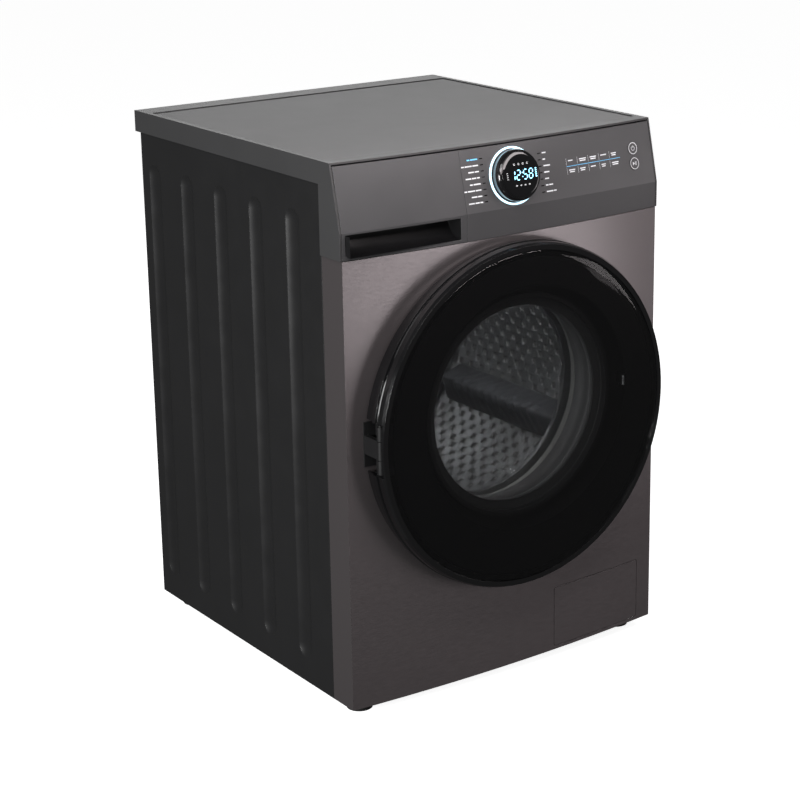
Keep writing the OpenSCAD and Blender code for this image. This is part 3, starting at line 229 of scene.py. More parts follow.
# grained: name, colour, roughness, grain scale, relief depth and colour spread
# brushed: name, colour, roughness and the stretch of its streaks
LOOKS = {
    "side_steel": grained("side_enamel", (0.0125, 0.0125, 0.013), 0.40, 700.0, 0.00012, 0.05, edge=3 * MM,
                          **{"Coat Weight": 0.2, "Coat Roughness": 0.25}),
    "front_steel": brushed("titanium_steel", (0.095, 0.085, 0.087), 0.36, (0.6, 8.0, 9.0), spread=0.04,
                           **{"Metallic": 0.45, "Coat Weight": 0.25, "Coat Roughness": 0.18}),
    "black_steel": grained("black_steel", (0.010, 0.010, 0.0105), 0.45, 800.0, 0.0001),
    "zinc_steel": brushed("zinc_steel", (0.44, 0.45, 0.46), 0.4, (3, 3, 3), Metallic=1.0),
    "stainless": brushed("stainless_steel", (0.42, 0.43, 0.44), 0.34, (6, 0.5, 6), depth=0.00001, spread=0.05,
                         Metallic=1.0),
    "cast_alloy": grained("cast_alloy", (0.45, 0.46, 0.47), 0.5, 420.0, 0.0003, Metallic=1.0),
    "lid_plastic": grained("lid_frame_plastic", (0.046, 0.046, 0.047), 0.46, 900.0, 0.00008, 0.03,
                           uneven=0.04),
    "lid_board": grained("lid_laminate", (0.135, 0.135, 0.137), 0.56, 1300.0, 0.00005, 0.012, uneven=0.02),
    "fascia_plastic": grained("fascia_paint", (0.090, 0.090, 0.093), 0.38, 1600.0, 0.00006, 0.04,
                              **{"Metallic": 0.35, "Coat Weight": 0.2, "Coat Roughness": 0.3}),
    "black_gloss": smooth_gloss("black_gloss", (0.0045, 0.0045, 0.005), 0.11, **{"Coat Weight": 0.6}),
    "black_plastic": grained("black_plastic", (0.012, 0.012, 0.013), 0.5, 800.0, 0.00015),
    "light_ring": lit("halo_light", (0.55, 0.80, 1.0), 1.7),
    "display_glass": smooth_gloss("display_lens_gloss", (0.003, 0.003, 0.0036), 0.05,
                                  **{"Coat Weight": 1.0, "Coat Roughness": 0.03}),
    "gasket_rubber": grained("gasket_rubber", (0.17, 0.175, 0.18), 0.62, 520.0, 0.0002),
    "black_rubber": grained("black_rubber", (0.012, 0.012, 0.012), 0.74, 600.0, 0.0003),
    "tray_plastic": grained("tray_plastic", (0.10, 0.13, 0.16), 0.42, 700.0, 0.0001),
    "cap_plastic": grained("cap_plastic", (0.10, 0.23, 0.40), 0.3, 700.0, 0.00008),
    "housing_plastic": grained("housing_plastic", (0.035, 0.040, 0.046), 0.5, 650.0, 0.00015),
    "white_plastic": grained("white_plastic", (0.66, 0.66, 0.63), 0.42, 650.0, 0.0001, 0.04),
    "tub_plastic": grained("tub_plastic", (0.50, 0.51, 0.49), 0.6, 480.0, 0.0002, 0.06),
    "lifter_plastic": grained("lifter_plastic", (0.085, 0.09, 0.10), 0.4, 700.0, 0.0001),
    "filter_plastic": grained("filter_plastic", (0.05, 0.055, 0.06), 0.45, 700.0, 0.0001),
    "spring_steel": brushed("spring_steel", (0.40, 0.41, 0.42), 0.3, (3, 3, 30), Metallic=1.0),
    "concrete": concrete(),
    "circuit_board": circuit_board(),
    "door_glass": clear_gloss("smoked_glass", (0.004, 0.004, 0.0045), 0.04, 0.34),
    "bowl_glass": clear_gloss("bowl_glass", (0.35, 0.37, 0.37), 0.03, 0.06),
}
PRINT_WHITE = lit("white_print", (0.72, 0.74, 0.76), 0.25)
PRINT_BLUE = lit("blue_print", (0.13, 0.45, 0.75), 0.9)
DIGIT_BLUE = lit("display_digits", (0.30, 0.72, 1.0), 3.2)
BORDER_PRINT = smooth_gloss("border_print", (0.0035, 0.0035, 0.0038), 0.35,
                            **{"Specular IOR Level": 0.15})
# black satin for the sheet in the drawer's finger scoop: painted shade in the recess
SCOOP_SHADE_BLACK = grained("painted_shade_black", (0.006, 0.006, 0.0065), 0.36, 900.0, 0.00005)
MARK_BLACK = smooth_gloss("marker_black", (0.004, 0.004, 0.004), 0.2)
SLOT_OF = {part["node"]: part["material_slot"] for part in frame["record"]["subparts"]}


def dress_frame():
    """Gives every CAD node the material of its slot."""
    for name, node in NODES.items():
        node.data.materials.clear()
        node.data.materials.append(LOOKS[SLOT_OF[name]])


# ---------- mesh helpers ----------

def add_mesh(name, bm, material, smooth_angle=35.0):
    """A new object from a bmesh, shaded smooth except along its sharp edges."""
    bmesh.ops.recalc_face_normals(bm, faces=bm.faces)
    mesh = bpy.data.meshes.new(name)
    bm.to_mesh(mesh)
    bm.free()
    mesh.materials.append(material)
    mesh.polygons.foreach_set("use_smooth", [True] * len(mesh.polygons))
    mesh.set_sharp_from_angle(angle=math.radians(smooth_angle))
    piece = bpy.data.objects.new(name, mesh)
    bpy.context.scene.collection.objects.link(piece)
    return piece


def place(piece, body, slot, *replaced):
    """Puts a finished piece on its body and hides the CAD parts it stands for."""
    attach(piece, body)
    if replaced:
        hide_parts(*replaced)
    return piece


def bridge(bm, rows, around=False):
    """Faces between each row of points and the next; around also joins each row's ends."""
    for here, there in zip(rows, rows[1:]):
        count = len(here)
        for j in range(count if around else count - 1):
            k = (j + 1) % count
            bm.faces.new((here[j], here[k], there[k], there[j]))


def revolved(name, profile, spot, material, steps=192, smooth_angle=35.0):
    """A closed outline of (radius, height), turned about the last of the spot's three directions."""
    point, right, up, out = spot
    bm = bmesh.new()
    rings = []
    for i in range(steps):
        angle = 2 * math.pi * i / steps
        side = right * math.cos(angle) + up * math.sin(angle)
        rings.append([bm.verts.new(point + side * r + out * h) for r, h in profile])
    bridge(bm, rings + rings[:1], around=True)
    bmesh.ops.remove_doubles(bm, verts=bm.verts, dist=1e-6)
    return add_mesh(name, bm, material, smooth_angle)


def scaled(points):
    """An outline given in millimetres, as metres; a third number is a corner's radius."""
    return [tuple(value * MM for value in point) for point in points]


def rounded(points, radius, steps=5):
    """An outline with each corner turned into a curve; a point may carry its own radius."""
    nearly_straight = math.radians(176)
    share_of_side = 0.48
    result = []
    count = len(points)
    for i, point in enumerate(points):
        corner = Vector(point[:2])
        want = point[2] if len(point) > 2 else radius
        before = Vector(points[i - 1][:2]) - corner
        after = Vector(points[(i + 1) % count][:2]) - corner
        room = min(before.length, after.length) * share_of_side
        turn = before.angle(after)
        reach = min(want / max(math.tan(turn / 2), 1e-3), room)
        if want <= 0 or turn > nearly_straight:
            result.append(tuple(corner))
            continue
        start = corner + before.normalized() * reach
        end = corner + after.normalized() * reach
        for s in range(steps + 1):
            t = s / steps
            spot = start * (1 - t) ** 2 + corner * (2 * t * (1 - t)) + end * t ** 2
            result.append(tuple(spot))
    return result


# ---------- sizes, some read from the frame, some given ---

LID_LOW, LID_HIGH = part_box("lid_frame")
BOW = 14 * MM
STRIP_H = 41 * MM
LEAN_BACK = 22 * MM
MOUTH_R = 165 * MM
PANEL_H = LID_HIGH.z - LID_LOW.z
LEAN = math.atan2(LEAN_BACK, PANEL_H - STRIP_H)
Z_BREAK = LID_LOW.z + STRIP_H
Y_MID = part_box("front_panel")[0].y
BOW_R = (LID_HIGH.x ** 2 + BOW ** 2) / (2 * BOW)
DOOR_Z = sum(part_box("door_glass")[i].z for i in (0, 1)) / 2
AXIS_Z = sum(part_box("gasket_clamp")[i].z for i in (0, 1)) / 2
DOOR_CENTER = Vector((0, 0, DOOR_Z))
DRUM_CENTER = Vector((0, 0, AXIS_Z))
DOOR_SPOT = (DOOR_CENTER, RIGHT, UP, BACK)
DRUM_SPOT = (DRUM_CENTER, RIGHT, UP, BACK)
KNOB_X, KNOB_Z = 9 * MM, LID_HIGH.z - 52 * MM
BUTTON_X = LID_HIGH.x - 44.5 * MM
BUTTON_ZS = {"power_button": LID_HIGH.z - 42 * MM, "start_button": LID_HIGH.z - 65 * MM}
PRINT_LIFT = 0.12 * MM
LABEL_H = 1.9 * MM
LENS_TOP = 20.8 * MM


def sag(x):
    """How far the bowed front falls back at a place across it."""
    return BOW_R - math.sqrt(BOW_R ** 2 - x ** 2)


def face_frame(x, z, turned=True):
    """A point of the leaning face with its right, up and outward directions."""
    rise = (z - Z_BREAK + sag(x) * math.sin(LEAN)) / math.cos(LEAN)
    point = Vector((x, Y_MID + sag(x) * math.cos(LEAN) + rise * math.sin(LEAN), z))
    yaw = math.asin(x / BOW_R) if turned else 0.0
    right = Vector((math.cos(yaw), math.sin(yaw), 0))
    up = Vector((-math.sin(yaw) * math.sin(LEAN), math.cos(yaw) * math.sin(LEAN), math.cos(LEAN)))
    return point, right, up, right.cross(up)


# ---------- marks: flat prints and lit shapes ----------

def on_fascia(x, z):
    """A print's point on the bowed, leaning face."""
    point, _, _, out = face_frame(x, z)
    return point + out * PRINT_LIFT


def plane_at(x, z, height, turned=True):
    """A flat place on the face, as a function from its own two directions to a point."""
    point, right, up, out = face_frame(x, z, turned)
    return lambda u, v: point + right * u + up * v + out * height


def bar(u0, u1, v0, v1, step=12 * MM):
    """A rectangle, split so that it can follow the bow."""
    count = max(1, math.ceil((u1 - u0) / step))
    cuts = [u0 + (u1 - u0) * i / count for i in range(count + 1)]
    return [[(a, v0), (b, v0), (b, v1), (a, v1)] for a, b in zip(cuts, cuts[1:])]


def band(u, v, inner, outer, start=0.0, end=360.0, steps=40):
    """A ring or an arc with a width, as short pieces."""
    ways = []
    for i in range(steps + 1):
        turn = math.radians(start + (end - start) * i / steps)
        ways.append((math.cos(turn), math.sin(turn)))
    pieces = []
    for a, b in zip(ways, ways[1:]):
        corners = ((inner, a), (outer, a), (outer, b), (inner, b))
        pieces.append([(u + r * way[0], v + r * way[1]) for r, way in corners])
    return pieces


def marks(name, surface, outlines, material, body):
    """One piece made of many flat outlines laid on a surface."""
    bm = bmesh.new()
    for outline in outlines:
        bm.faces.new([bm.verts.new(surface(u, v)) for u, v in outline])
    piece = add_mesh(name, bm, material)
    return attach(piece, body)


# each stroke's column, row and whether it lies flat
SEGMENTS = {"a": (0, 2, True), "b": (1, 1, False), "c": (1, 0, False), "d": (0, 0, True),
            "e": (0, 0, False), "f": (0, 1, False), "g": (0, 1, True)}
DIGITS = {"1": "bc", "2": "abged", "5": "afgcd", "8": "abcdefg"}
DIGIT_SLANT = 0.1


def digit(sign, u, v, wide, high, thick):
    """The lit strokes of one number, pointed at both ends and slanted a little."""
    outlines = []
    gap, half_thick = thick * 0.62, thick / 2
    for key in DIGITS[sign]:
        column, row, flat = SEGMENTS[key]
        long = (wide if flat else high / 2) - 2 * gap
        stroke = [(0, 0), (half_thick, half_thick), (long - half_thick, half_thick), (long, 0),
                  (long - half_thick, -half_thick), (half_thick, -half_thick)]
        x, y = column * wide, row * high / 2
        points = [(x + gap + a, y + b) if flat else (x + b, y + gap + a) for a, b in stroke]
        outlines.append([(u + a + b * DIGIT_SLANT, v + b) for a, b in points])
    return outlines


def words(u, v, count, pattern, anchor=1):
    """A greeked label: short bars in place of words, growing to one side."""
    shortest, step, space = 5.0 * MM, 2.6 * MM, 1.3 * MM
    outlines = []
    reach = u
    for i in range(count):
        long = shortest + step * ((pattern * 7 + i * 5) % 4)
        start, end = sorted((reach, reach + anchor * long))
        outlines += bar(start, end, v - LABEL_H / 2, v + LABEL_H / 2)
        reach += anchor * (long + space)
    return outlines


def display():
    """Numbers, small icons and level bars on the knob's lens."""
    lens = plane_at(KNOB_X, KNOB_Z, LENS_TOP + 0.9 * MM, turned=False)
    wide, high, thick, pitch = 6.6 * MM, 14 * MM, 1.5 * MM, 10.2 * MM
    first_u, colon_room, colon_u, dot = -20.5 * MM, 2.6 * MM, 0.3 * MM, 1.5 * MM
    lit_shapes = []
    for i, sign in enumerate("1258"):
        past_colon = colon_room if i > 1 else 0
        lit_shapes += digit(sign, first_u + i * pitch + past_colon, -high / 2, wide, high, thick)
    for v in (-3 * MM, 3 * MM):
        lit_shapes += bar(colon_u, colon_u + dot, v - dot / 2, v + dot / 2)
    row = 3 * MM
    for i in range(5):
        lit_shapes += bar(25.0 * MM, 27.6 * MM, (i - 2) * row, (i - 2) * row + 1.4 * MM)
    marks("display_digits", lens, lit_shapes, DIGIT_BLUE, "cabinet")
    pale = []
    for i in range(4):
        u = (i - 1.5) * 8 * MM
        pale += band(u, 16 * MM, 0.9 * MM, 1.6 * MM, 20, 340, 16)
        pale += bar(u - 1.6 * MM, u + 1.6 * MM, -15.4 * MM, -14.6 * MM)
        pale += band(u, -15 * MM, 1.1 * MM, 1.6 * MM, 200, 340, 12)
        pale += bar(-27.8 * MM, -25.4 * MM, i * row - 5 * MM, i * row - 4.2 * MM)
    marks("display_icons", lens, pale, PRINT_WHITE, "cabinet")


def program_labels():
    """Two columns of greeked program names with their dashes around the knob."""
    dash, half_dash = 5.5 * MM, 0.8 * MM
    left_words, left_dash, left_pitch = -52 * MM, -48.5 * MM, 8.86 * MM
    right_words, right_dash, right_pitch = 68 * MM, 59 * MM, 9.5 * MM
    white, blue, dashes = [], [], []
    for i in range(8):
        z = KNOB_Z + 31 * MM - left_pitch * i
        label = words(left_words, z, 2 + (i * 3) % 2, i + 1, -1)
        (blue if i == 0 else white).extend(label)
        dashes += bar(left_dash, left_dash + dash, z - half_dash, z + half_dash)
    for i in range(7):
        z = KNOB_Z + 26 * MM - right_pitch * i
        white += words(right_words, z, 1 + (i > 4), i + 3)
        dashes += bar(right_dash, right_dash + dash, z - half_dash, z + half_dash)
    marks("program_labels", on_fascia, white, PRINT_WHITE, "cabinet")
    marks("chosen_program", on_fascia, blue, PRINT_BLUE, "cabinet")
    marks("program_dashes", on_fascia, dashes, MARK_BLACK, "cabinet")


def touch_keys():
    """Two rows of touch keys, split by thin lines."""
    white = []
    first_x, pitch, keys = 113 * MM, 22.2 * MM, 5
    rule, half_rule, word_in, word_h = 0.35 * MM, 5 * MM, 4 * MM, 1.6 * MM
    for row, z in enumerate((KNOB_Z + 7 * MM, KNOB_Z - 7 * MM)):
        for i in range(keys):
            x = first_x + i * pitch
            long = (9 + (i * 5 + row * 3) % 6) * MM
            high_word, low_word = z + 0.5 * MM, z - 2.3 * MM
            white += bar(x, x + rule, z - half_rule, z + half_rule)
            white += bar(x + word_in, x + word_in + long, high_word, high_word + word_h)
            if (i + row) % 3:
                white += bar(x + word_in + MM, x + word_in + long - MM, low_word, low_word + word_h)
    line = bar(first_x, first_x + keys * pitch, KNOB_Z - 0.3 * MM, KNOB_Z + 0.3 * MM)
    marks("touch_keys", on_fascia, white, PRINT_WHITE, "cabinet")
    marks("touch_line", on_fascia, line, PRINT_BLUE, "cabinet")


def power_icon():
    """An open ring with an upright bar in its gap."""
    return band(0, 0, 2.9 * MM, 3.6 * MM, 120, 420, 24) + bar(-0.35 * MM, 0.35 * MM, 0.8 * MM, 4.2 * MM)


def start_icon():
    """A triangle and two upright bars."""
    half, wide = 2.8 * MM, 0.8 * MM
    icon = [[(-3.8 * MM, -half), (0.2 * MM, 0), (-3.8 * MM, half)]]
    for u in (1.2 * MM, 3.0 * MM):
        icon += bar(u, u + wide, -half, half)
    return icon


def button_marks():
    """White outlines and icons on the two round buttons."""
    icons = {"power_button": power_icon(), "start_button": start_icon()}
    for body, z in BUTTON_ZS.items():
        top = plane_at(BUTTON_X, z, 1.12 * MM)
        shapes = band(0, 0, 8.2 * MM, 9.1 * MM) + icons[body]
        marks(body + "_marks", top, shapes, PRINT_WHITE, body)


# ---------- knob ----------

def on_knob(name, outline, body, slot, node):
    """A round piece on the knob's axis, from an outline of (radius, height)."""
    spot = face_frame(KNOB_X, KNOB_Z, turned=False)
    place(revolved(name, outline, spot, LOOKS[slot], 128), body, slot, node)


def knob():
    """Glossy turning ring with a round shoulder, its light ring and the domed lens."""
    ring = scaled([(33.1, 0.5, 0), (38.6, 0.5, 0), (39, 9, 4), (38.2, 15.5, 6), (34.6, 18.6, 3),
                   (33.1, 18.6, 0)])
    on_knob("knob_ring", rounded(ring, 2 * MM, 8), "knob", "black_gloss", "knob")
    halo = scaled([(40.5, -0.9, 0), (43.5, -0.9, 0), (43.4, 1.2, 0.8), (40.6, 1.2, 0.8)])
    on_knob("halo", rounded(halo, 0.8 * MM, 4), "cabinet", "light_ring", "knob_light_ring")
    lens = scaled([(0, 19.0, 0), (34.6, 19.0, 0), (35, 20.0, 0.8), (31, 21.2, 6), (0, 21.6, 0)])
    on_knob("lens", rounded(lens, 0, 8), "cabinet", "display_glass", "display_lens")


# ---------- drawer pull ----------

def scoop_shade_sheet():
    """Black satin sheet a hair in front of the finger scoop's walls: painted shade over the recess."""
    x0, x1, reach = -288.0 * MM, -94.6 * MM, 33.5 * MM
    y_axis, z_axis, z_top = Y_MID + 2 * MM, LID_LOW.z + 39 * MM, LID_LOW.z + 36.5 * MM
    steps = 24
    start, end = math.asin((z_axis - z_top) / reach), math.radians(91)
    turns = [start + (end - start) * i / steps for i in range(steps + 1)]
    arc = [(y_axis + reach * math.cos(a), z_axis - reach * math.sin(a)) for a in turns]
    bm = bmesh.new()
    left, right = ([bm.verts.new((x, y, z)) for y, z in arc] for x in (x0, x1))
    bridge(bm, [left, right])
    for row, x in ((left, x0), (right, x1)):
        bm.faces.new(row + [bm.verts.new((x, y_axis, z_top))])
    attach(add_mesh("scoop_shade_sheet", bm, SCOOP_SHADE_BLACK), "drawer")


# ---------- drum ----------

def perforated(bm, spot, columns, rows, plain):
    """A grid of cells with an eight-sided hole in every other one, save the plain rows."""
    corners = [(1, 0.5), (1, 1), (0.5, 1), (0, 1), (0, 0.5), (0, 0), (0.5, 0), (1, 0)]
    hole_r = 0.27
    ways = [(math.cos(k * math.pi / 4), math.sin(k * math.pi / 4)) for k in range(8)]
    for i in range(columns):
        for j in range(rows):
            rim = [bm.verts.new(spot(i + a, j + b)) for a, b in corners]
            if (i + j) % 2 or j in plain:
                bm.faces.new(rim)
                continue
            hole = [bm.verts.new(spot(i + 0.5 + hole_r * a, j + 0.5 + hole_r * b)) for a, b in ways]
            bridge(bm, [rim, hole], around=True)


def around_drum(radius, angle, y):
    """A point at a radius and an angle about the drum's axis."""
    return DRUM_CENTER + Vector((radius * math.cos(angle), y, radius * math.sin(angle)))


def drum_wall(bm, radius, y0, y1, columns):
    """The perforated wall, plain beside its two ends."""
    rows = 26
    perforated(bm, lambda i, j: around_drum(radius, 2 * math.pi * i / columns, y0 + (y1 - y0) * j / rows),
               columns, rows, (0, rows - 1))


def drum_back(bm, radius, y_back):
    """The perforated back, pressed into three broad arms, with a plain middle."""
    columns, rows = 72, 17
    hub, press_depth = 52 * MM, 7 * MM

    def spot(i, j):
        """The point of the back at a place on its grid."""
        angle = 2 * math.pi * i / columns
        arm = 0.5 + 0.5 * math.cos(3 * (angle - math.radians(90)))
        fade = min(1.0, j / 2, (rows - j) / 3)
        press = press_depth * max(0.0, min(1.0, (arm - 0.35) * 4)) * fade
        return around_drum(hub + (radius - hub) * j / rows, angle, y_back - press)

    perforated(bm, spot, columns, rows, (0, 1, rows - 1))
    middle = bm.verts.new(DRUM_CENTER + BACK * (y_back - 3 * MM))
    rim = [bm.verts.new(spot(i, 0)) for i in range(columns)]
    for here, there in zip(rim, rim[1:] + rim[:1]):
        bm.faces.new((middle, here, there))


def drum_mouth(bm, radius, y0, columns):
    """The plain front ring, turned in to a rolled lip."""
    profile = [(radius, y0), (MOUTH_R + 6 * MM, y0), (MOUTH_R + 1 * MM, y0 + 2 * MM), (MOUTH_R, y0 + 8 * MM)]
    rings = [[bm.verts.new(around_drum(r, 2 * math.pi * i / columns, y)) for r, y in profile]
             for i in range(columns)]
    bridge(bm, rings + rings[:1])


def drum_shell():
    """The drum's sheet: wall, back and mouth, joined and given a thickness."""
    low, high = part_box("drum")
    inset, columns = 1.2 * MM, 104
    radius = high.x - inset
    bm = bmesh.new()
    drum_wall(bm, radius, low.y, high.y - inset, columns)
    drum_back(bm, radius, high.y - inset)
    drum_mouth(bm, radius, low.y, columns)
    bmesh.ops.remove_doubles(bm, verts=bm.verts, dist=0.02 * MM)
    piece = add_mesh("drum_shell", bm, LOOKS["stainless"])
    sheet_metal = piece.modifiers.new("sheet", "SOLIDIFY")
    sheet_metal.thickness = 0.9 * MM
    sheet_metal.offset = 0
    place(piece, "drum", "stainless", "drum")


def lifter(bm, turn, outer, y0, y1):
    """One ridge along the drum, with a waved crest and tapered ends."""
    outline = scaled([(0, -33, 0), (12, -31, 8), (44, -11, 12), (55, 0, 10), (44, 11, 12), (12, 31, 8),
                      (0, 33, 0)])
    sections, waves, wave_height, end_height, taper_share = 96, 16, 0.035, 0.55, 1 / 6
    angle = -math.radians(turn)
    inward = Vector((-math.cos(angle), 0, -math.sin(angle)))
    across = Vector((-math.sin(angle), 0, math.cos(angle)))
    rings = []
    for s in range(sections + 1):
        t = s / sections
        rise_share = min(1.0, t / taper_share, (1 - t) / taper_share) ** 0.5
        taper = end_height + (1 - end_height) * rise_share
        wave = 1 + wave_height * math.cos(2 * math.pi * t * waves) * (taper > 0.97)
        ring = []
        for rise, side in rounded(outline, 8 * MM, 4):
            to_wall = outer - math.sqrt(outer ** 2 - side ** 2)
            reach = max(to_wall, rise * taper * wave)
            spot = DRUM_CENTER + inward * (reach - outer) + across * side
            ring.append(bm.verts.new(spot + BACK * (y0 + (y1 - y0) * t)))
        rings.append(ring)
    bridge(bm, rings)
    bm.faces.new(rings[0])
    bm.faces.new(rings[-1])


def lifters():
    """Three ridges, evenly spaced around the drum."""
    low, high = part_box("drum")
    end_gap = 30 * MM
    bm = bmesh.new()
    for turn in (28, 148, 268):
        lifter(bm, turn, high.x - 2.0 * MM, low.y + end_gap, high.y - end_gap)
    place(add_mesh("lifters", bm, LOOKS["lifter_plastic"], 50), "drum", "lifter_plastic", "drum_lifters")


# ---------- door ----------

def thick_path(path, thickness):
    """A closed outline around a line of (radius, y), half the thickness to each side."""
    sides = ([], [])
    for i, point in enumerate(path):
        here = Vector(point)
        before = Vector(path[max(0, i - 1)])
        after = Vector(path[min(len(path) - 1, i + 1)])
        along = (after - before).normalized()
        off = Vector((-along.y, along.x)) * (thickness / 2)
        sides[0].append(tuple(here + off))
        sides[1].append(tuple(here - off))
    return sides[0] + sides[1][::-1]


def smooth_line(points, rounds=3):
    """An open line with its corners cut round, again and again."""
    for _ in range(rounds):
        cut = [points[0]]
        for (a, b), (c, d) in zip(points, points[1:]):
            cut.append((a * 0.75 + c * 0.25, b * 0.75 + d * 0.25))
            cut.append((a * 0.25 + c * 0.75, b * 0.25 + d * 0.75))
        points = cut + [points[-1]]
    return points


def gasket():
    """Grey bellows with its folds, between the porthole and the tub."""
    low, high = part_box("door_gasket")
    outer = high.x - 1.7 * MM
    front_lip = [(MOUTH_R - 10.5 * MM, low.y + 5 * MM), (MOUTH_R + 1 * MM, low.y + 2.5 * MM)]
    fold = [(outer, low.y + 3 * MM), (outer, low.y + 24 * MM), (outer - 1 * MM, low.y + 30 * MM),
            (MOUTH_R - 4 * MM, low.y + 31 * MM), (MOUTH_R - 4.5 * MM, high.y - 12 * MM)]
    tub_lip = [(MOUTH_R - 2 * MM, high.y - 8.5 * MM), (MOUTH_R + 9 * MM, high.y - 8 * MM),
               (MOUTH_R + 9 * MM, high.y)]
    outline = thick_path(smooth_line(front_lip + fold + tub_lip), 3 * MM)
    piece = revolved("bellows_gasket", outline, DRUM_SPOT, LOOKS["gasket_rubber"], 160, 60)
    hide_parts("door_gasket")
    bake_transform(piece)


def stretching(node):
    """A copy of an upright hose or of the springs, which run from the cabinet above down to the tub, baked in
    place.
    """
    bm = bmesh.new()
    bm.from_mesh(NODES[node].data)
    piece = add_mesh("bending_" + node, bm, LOOKS[SLOT_OF[node]], 40)
    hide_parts(node)
    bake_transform(piece)


def bowl():
    """Clear bowl: flange, sloping side and a gently domed end."""
    low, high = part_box("door_bowl")
    flange = [(high.x, low.y + 2 * MM), (152 * MM, low.y + 2.2 * MM)]
    side = [(150 * MM, low.y + 6 * MM), (147 * MM, low.y + 20 * MM), (129 * MM, high.y - 16 * MM)]
    end = [(122 * MM, high.y - 7 * MM), (104 * MM, high.y - 4 * MM), (50 * MM, high.y - 2.3 * MM),
           (0, high.y - 2 * MM)]
    outline = thick_path(smooth_line(flange + side + end), 3.6 * MM)
    piece = revolved("glass_bowl", outline, DRUM_SPOT, LOOKS["bowl_glass"], 160, 60)
    place(piece, "door", "bowl_glass", "door_bowl")


def door_dome():
    """Smoked outer glass, domed, with a ground edge."""
    low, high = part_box("door_glass")
    radius, dome, glass_t, steps = high.x, 11 * MM, 4 * MM, 20
    curve = (radius ** 2 + dome ** 2) / (2 * dome)
    front = []
    for i in range(steps + 1):
        r = (radius - 1.6 * MM) * i / steps
        front.append((r, low.y + curve - math.sqrt(curve ** 2 - r ** 2)))
    back = [(r, y + glass_t) for r, y in reversed(front) if r < radius - 8 * MM]
    edge = [(radius, low.y + dome + 1.2 * MM), (radius, high.y), (radius - 9 * MM, high.y)]
    piece = revolved("smoked_dome", front + edge + back, DOOR_SPOT, LOOKS["door_glass"], 192, 40)
    place(piece, "door", "door_glass", "door_glass")
    glass_border(low.y + glass_t + 0.4 * MM, curve, radius - 10 * MM, MOUTH_R + 25 * MM)


def glass_border(y_top, curve, outer, inner):
    """Black print behind the dome, from its rim to the round window on the drum's axis."""
    steps, rings = 160, 8
    bm = bmesh.new()
    rows = []
    for i in range(steps):
        angle = 2 * math.pi * i / steps
        way = Vector((math.cos(angle), 0, math.sin(angle)))
        row = []
        for j in range(rings + 1):
            spot = (DOOR_CENTER + way * outer).lerp(DRUM_CENTER + way * inner, j / rings)
            r = (spot - DOOR_CENTER).length
            row.append(bm.verts.new((spot.x, y_top + curve - math.sqrt(curve ** 2 - r ** 2), spot.z)))
        rows.append(row)
    bridge(bm, rows + rows[:1])
    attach(add_mesh("glass_border", bm, BORDER_PRINT), "door")


# ---------- stage ----------

def camera():
    """The camera at the photo's place and angle; a shift keeps the machine where the photo has it."""
    data = bpy.data.cameras.new("camera")
    data.lens = 92.3
    data.sensor_width = 36
    data.shift_x = -0.0764
    data.shift_y = -0.0871
    data.clip_end = 60
    eye = bpy.data.objects.new("camera", data)
    bpy.context.scene.collection.objects.link(eye)
    yaw, pitch, roll = math.radians(36.35), math.radians(-15.71), math.radians(0.54)
    forward = Vector((math.sin(yaw) * math.cos(pitch), math.cos(yaw) * math.cos(pitch), math.sin(pitch)))
    eye.location = (-1.8257, -2.6310, 1.4008)
    eye.rotation_mode = "QUATERNION"
    eye.rotation_quaternion = forward.to_track_quat("-Z", "Y") @ Quaternion((0, 0, 1), -roll)
    bpy.context.scene.camera = eye


def area_light(name, place, target, size, power, color=(1, 1, 1)):
    """A soft rectangular light aimed at a point."""
    data = bpy.data.lights.new(name, "AREA")
    data.shape = "RECTANGLE"
    data.size, data.size_y = size
    data.energy = power
    data.color = color
    light = bpy.data.objects.new(name, data)
    light.location = place
    light.rotation_euler = (Vector(target) - Vector(place)).to_track_quat("-Z", "Y").to_euler()
    bpy.context.scene.collection.objects.link(light)
    return light


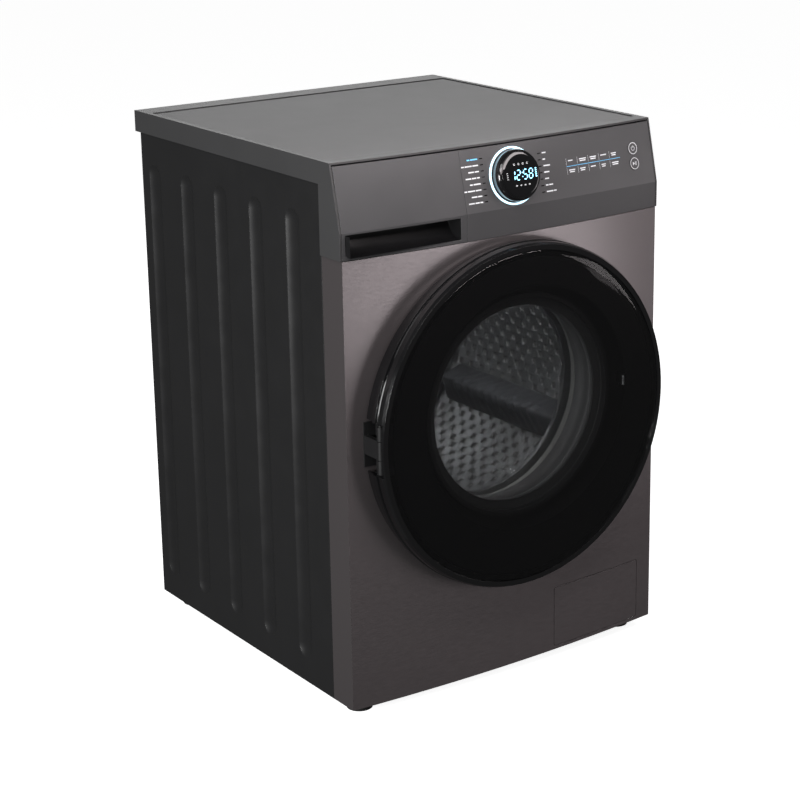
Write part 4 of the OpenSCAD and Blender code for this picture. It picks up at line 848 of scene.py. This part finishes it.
def pale_floor():
    """A wide flat disc that glows a little, and neither lights the machine nor shows in it."""
    radius, steps = 40.0, 64
    bm = bmesh.new()
    turns = [2 * math.pi * i / steps for i in range(steps)]
    bm.faces.new([bm.verts.new((radius * math.cos(turn), radius * math.sin(turn), 0)) for turn in turns])
    paper = grained("floor_paper", (0.93, 0.93, 0.93), 0.85, 60.0, 0.1 * MM, spread=0.01,
                    **{"Emission Color": (1, 1, 1, 1), "Emission Strength": 0.9})
    floor = add_mesh("floor", bm, paper)
    floor.visible_glossy = False
    floor.visible_diffuse = False


def dim_world():
    """Faint even light from all round."""
    world = bpy.data.worlds.new("studio")
    world.use_nodes = True
    world.node_tree.nodes["Background"].inputs["Color"].default_value = (1, 1, 1, 1)
    world.node_tree.nodes["Background"].inputs["Strength"].default_value = 0.08
    bpy.context.scene.world = world


def lamps():
    """Soft lamps; the sheen falls on the steel front alone, and a small one stands in the drum."""
    area_light("key", (-2.4, -1.6, 3.0), (0, 0, 0.5), (1.6, 1.6), 30)
    area_light("front", (2.9, -2.3, 0.75), (0, -0.25, 0.6), (1.0, 1.1), 8, (1.0, 0.93, 0.94))
    area_light("crown", (0.0, -0.72, 1.12), (0, -0.28, 0.68), (1.1, 0.25), 4.5, (1.0, 0.92, 0.93))
    sheen = area_light("sheen", (0.72, -1.50, 0.28), (-0.05, -0.3, 0.70), (1.1, 0.4), 8, (1.0, 0.92, 0.94))
    lit_front = bpy.data.collections.new("lit_front")
    for node in ("front_panel", "service_flap"):
        lit_front.objects.link(NODES[node])
    sheen.light_linking.receiver_collection = lit_front
    area_light("side", (-2.6, -0.85, 0.85), (-0.3, 0, 0.55), (0.6, 0.8), 58)
    area_light("top", (1.6, 2.4, 2.2), (0, 0, 0.8), (2.6, 1.6), 29)
    area_light("drum", (0.06, -0.17, 0.55), (-0.05, 0.18, 0.42), (0.10, 0.06), 0.9)


dress_frame()
knob()
display()
program_labels()
touch_keys()
button_marks()
# painted shade: a black sheet over the drawer's finger scoop
scoop_shade_sheet()
drum_shell()
lifters()
gasket()
stretching("dispenser_hose")
stretching("suspension_springs")
bowl()
door_dome()
camera()
pale_floor()
dim_world()
lamps()
bpy.context.scene.view_settings.view_transform = "Standard"
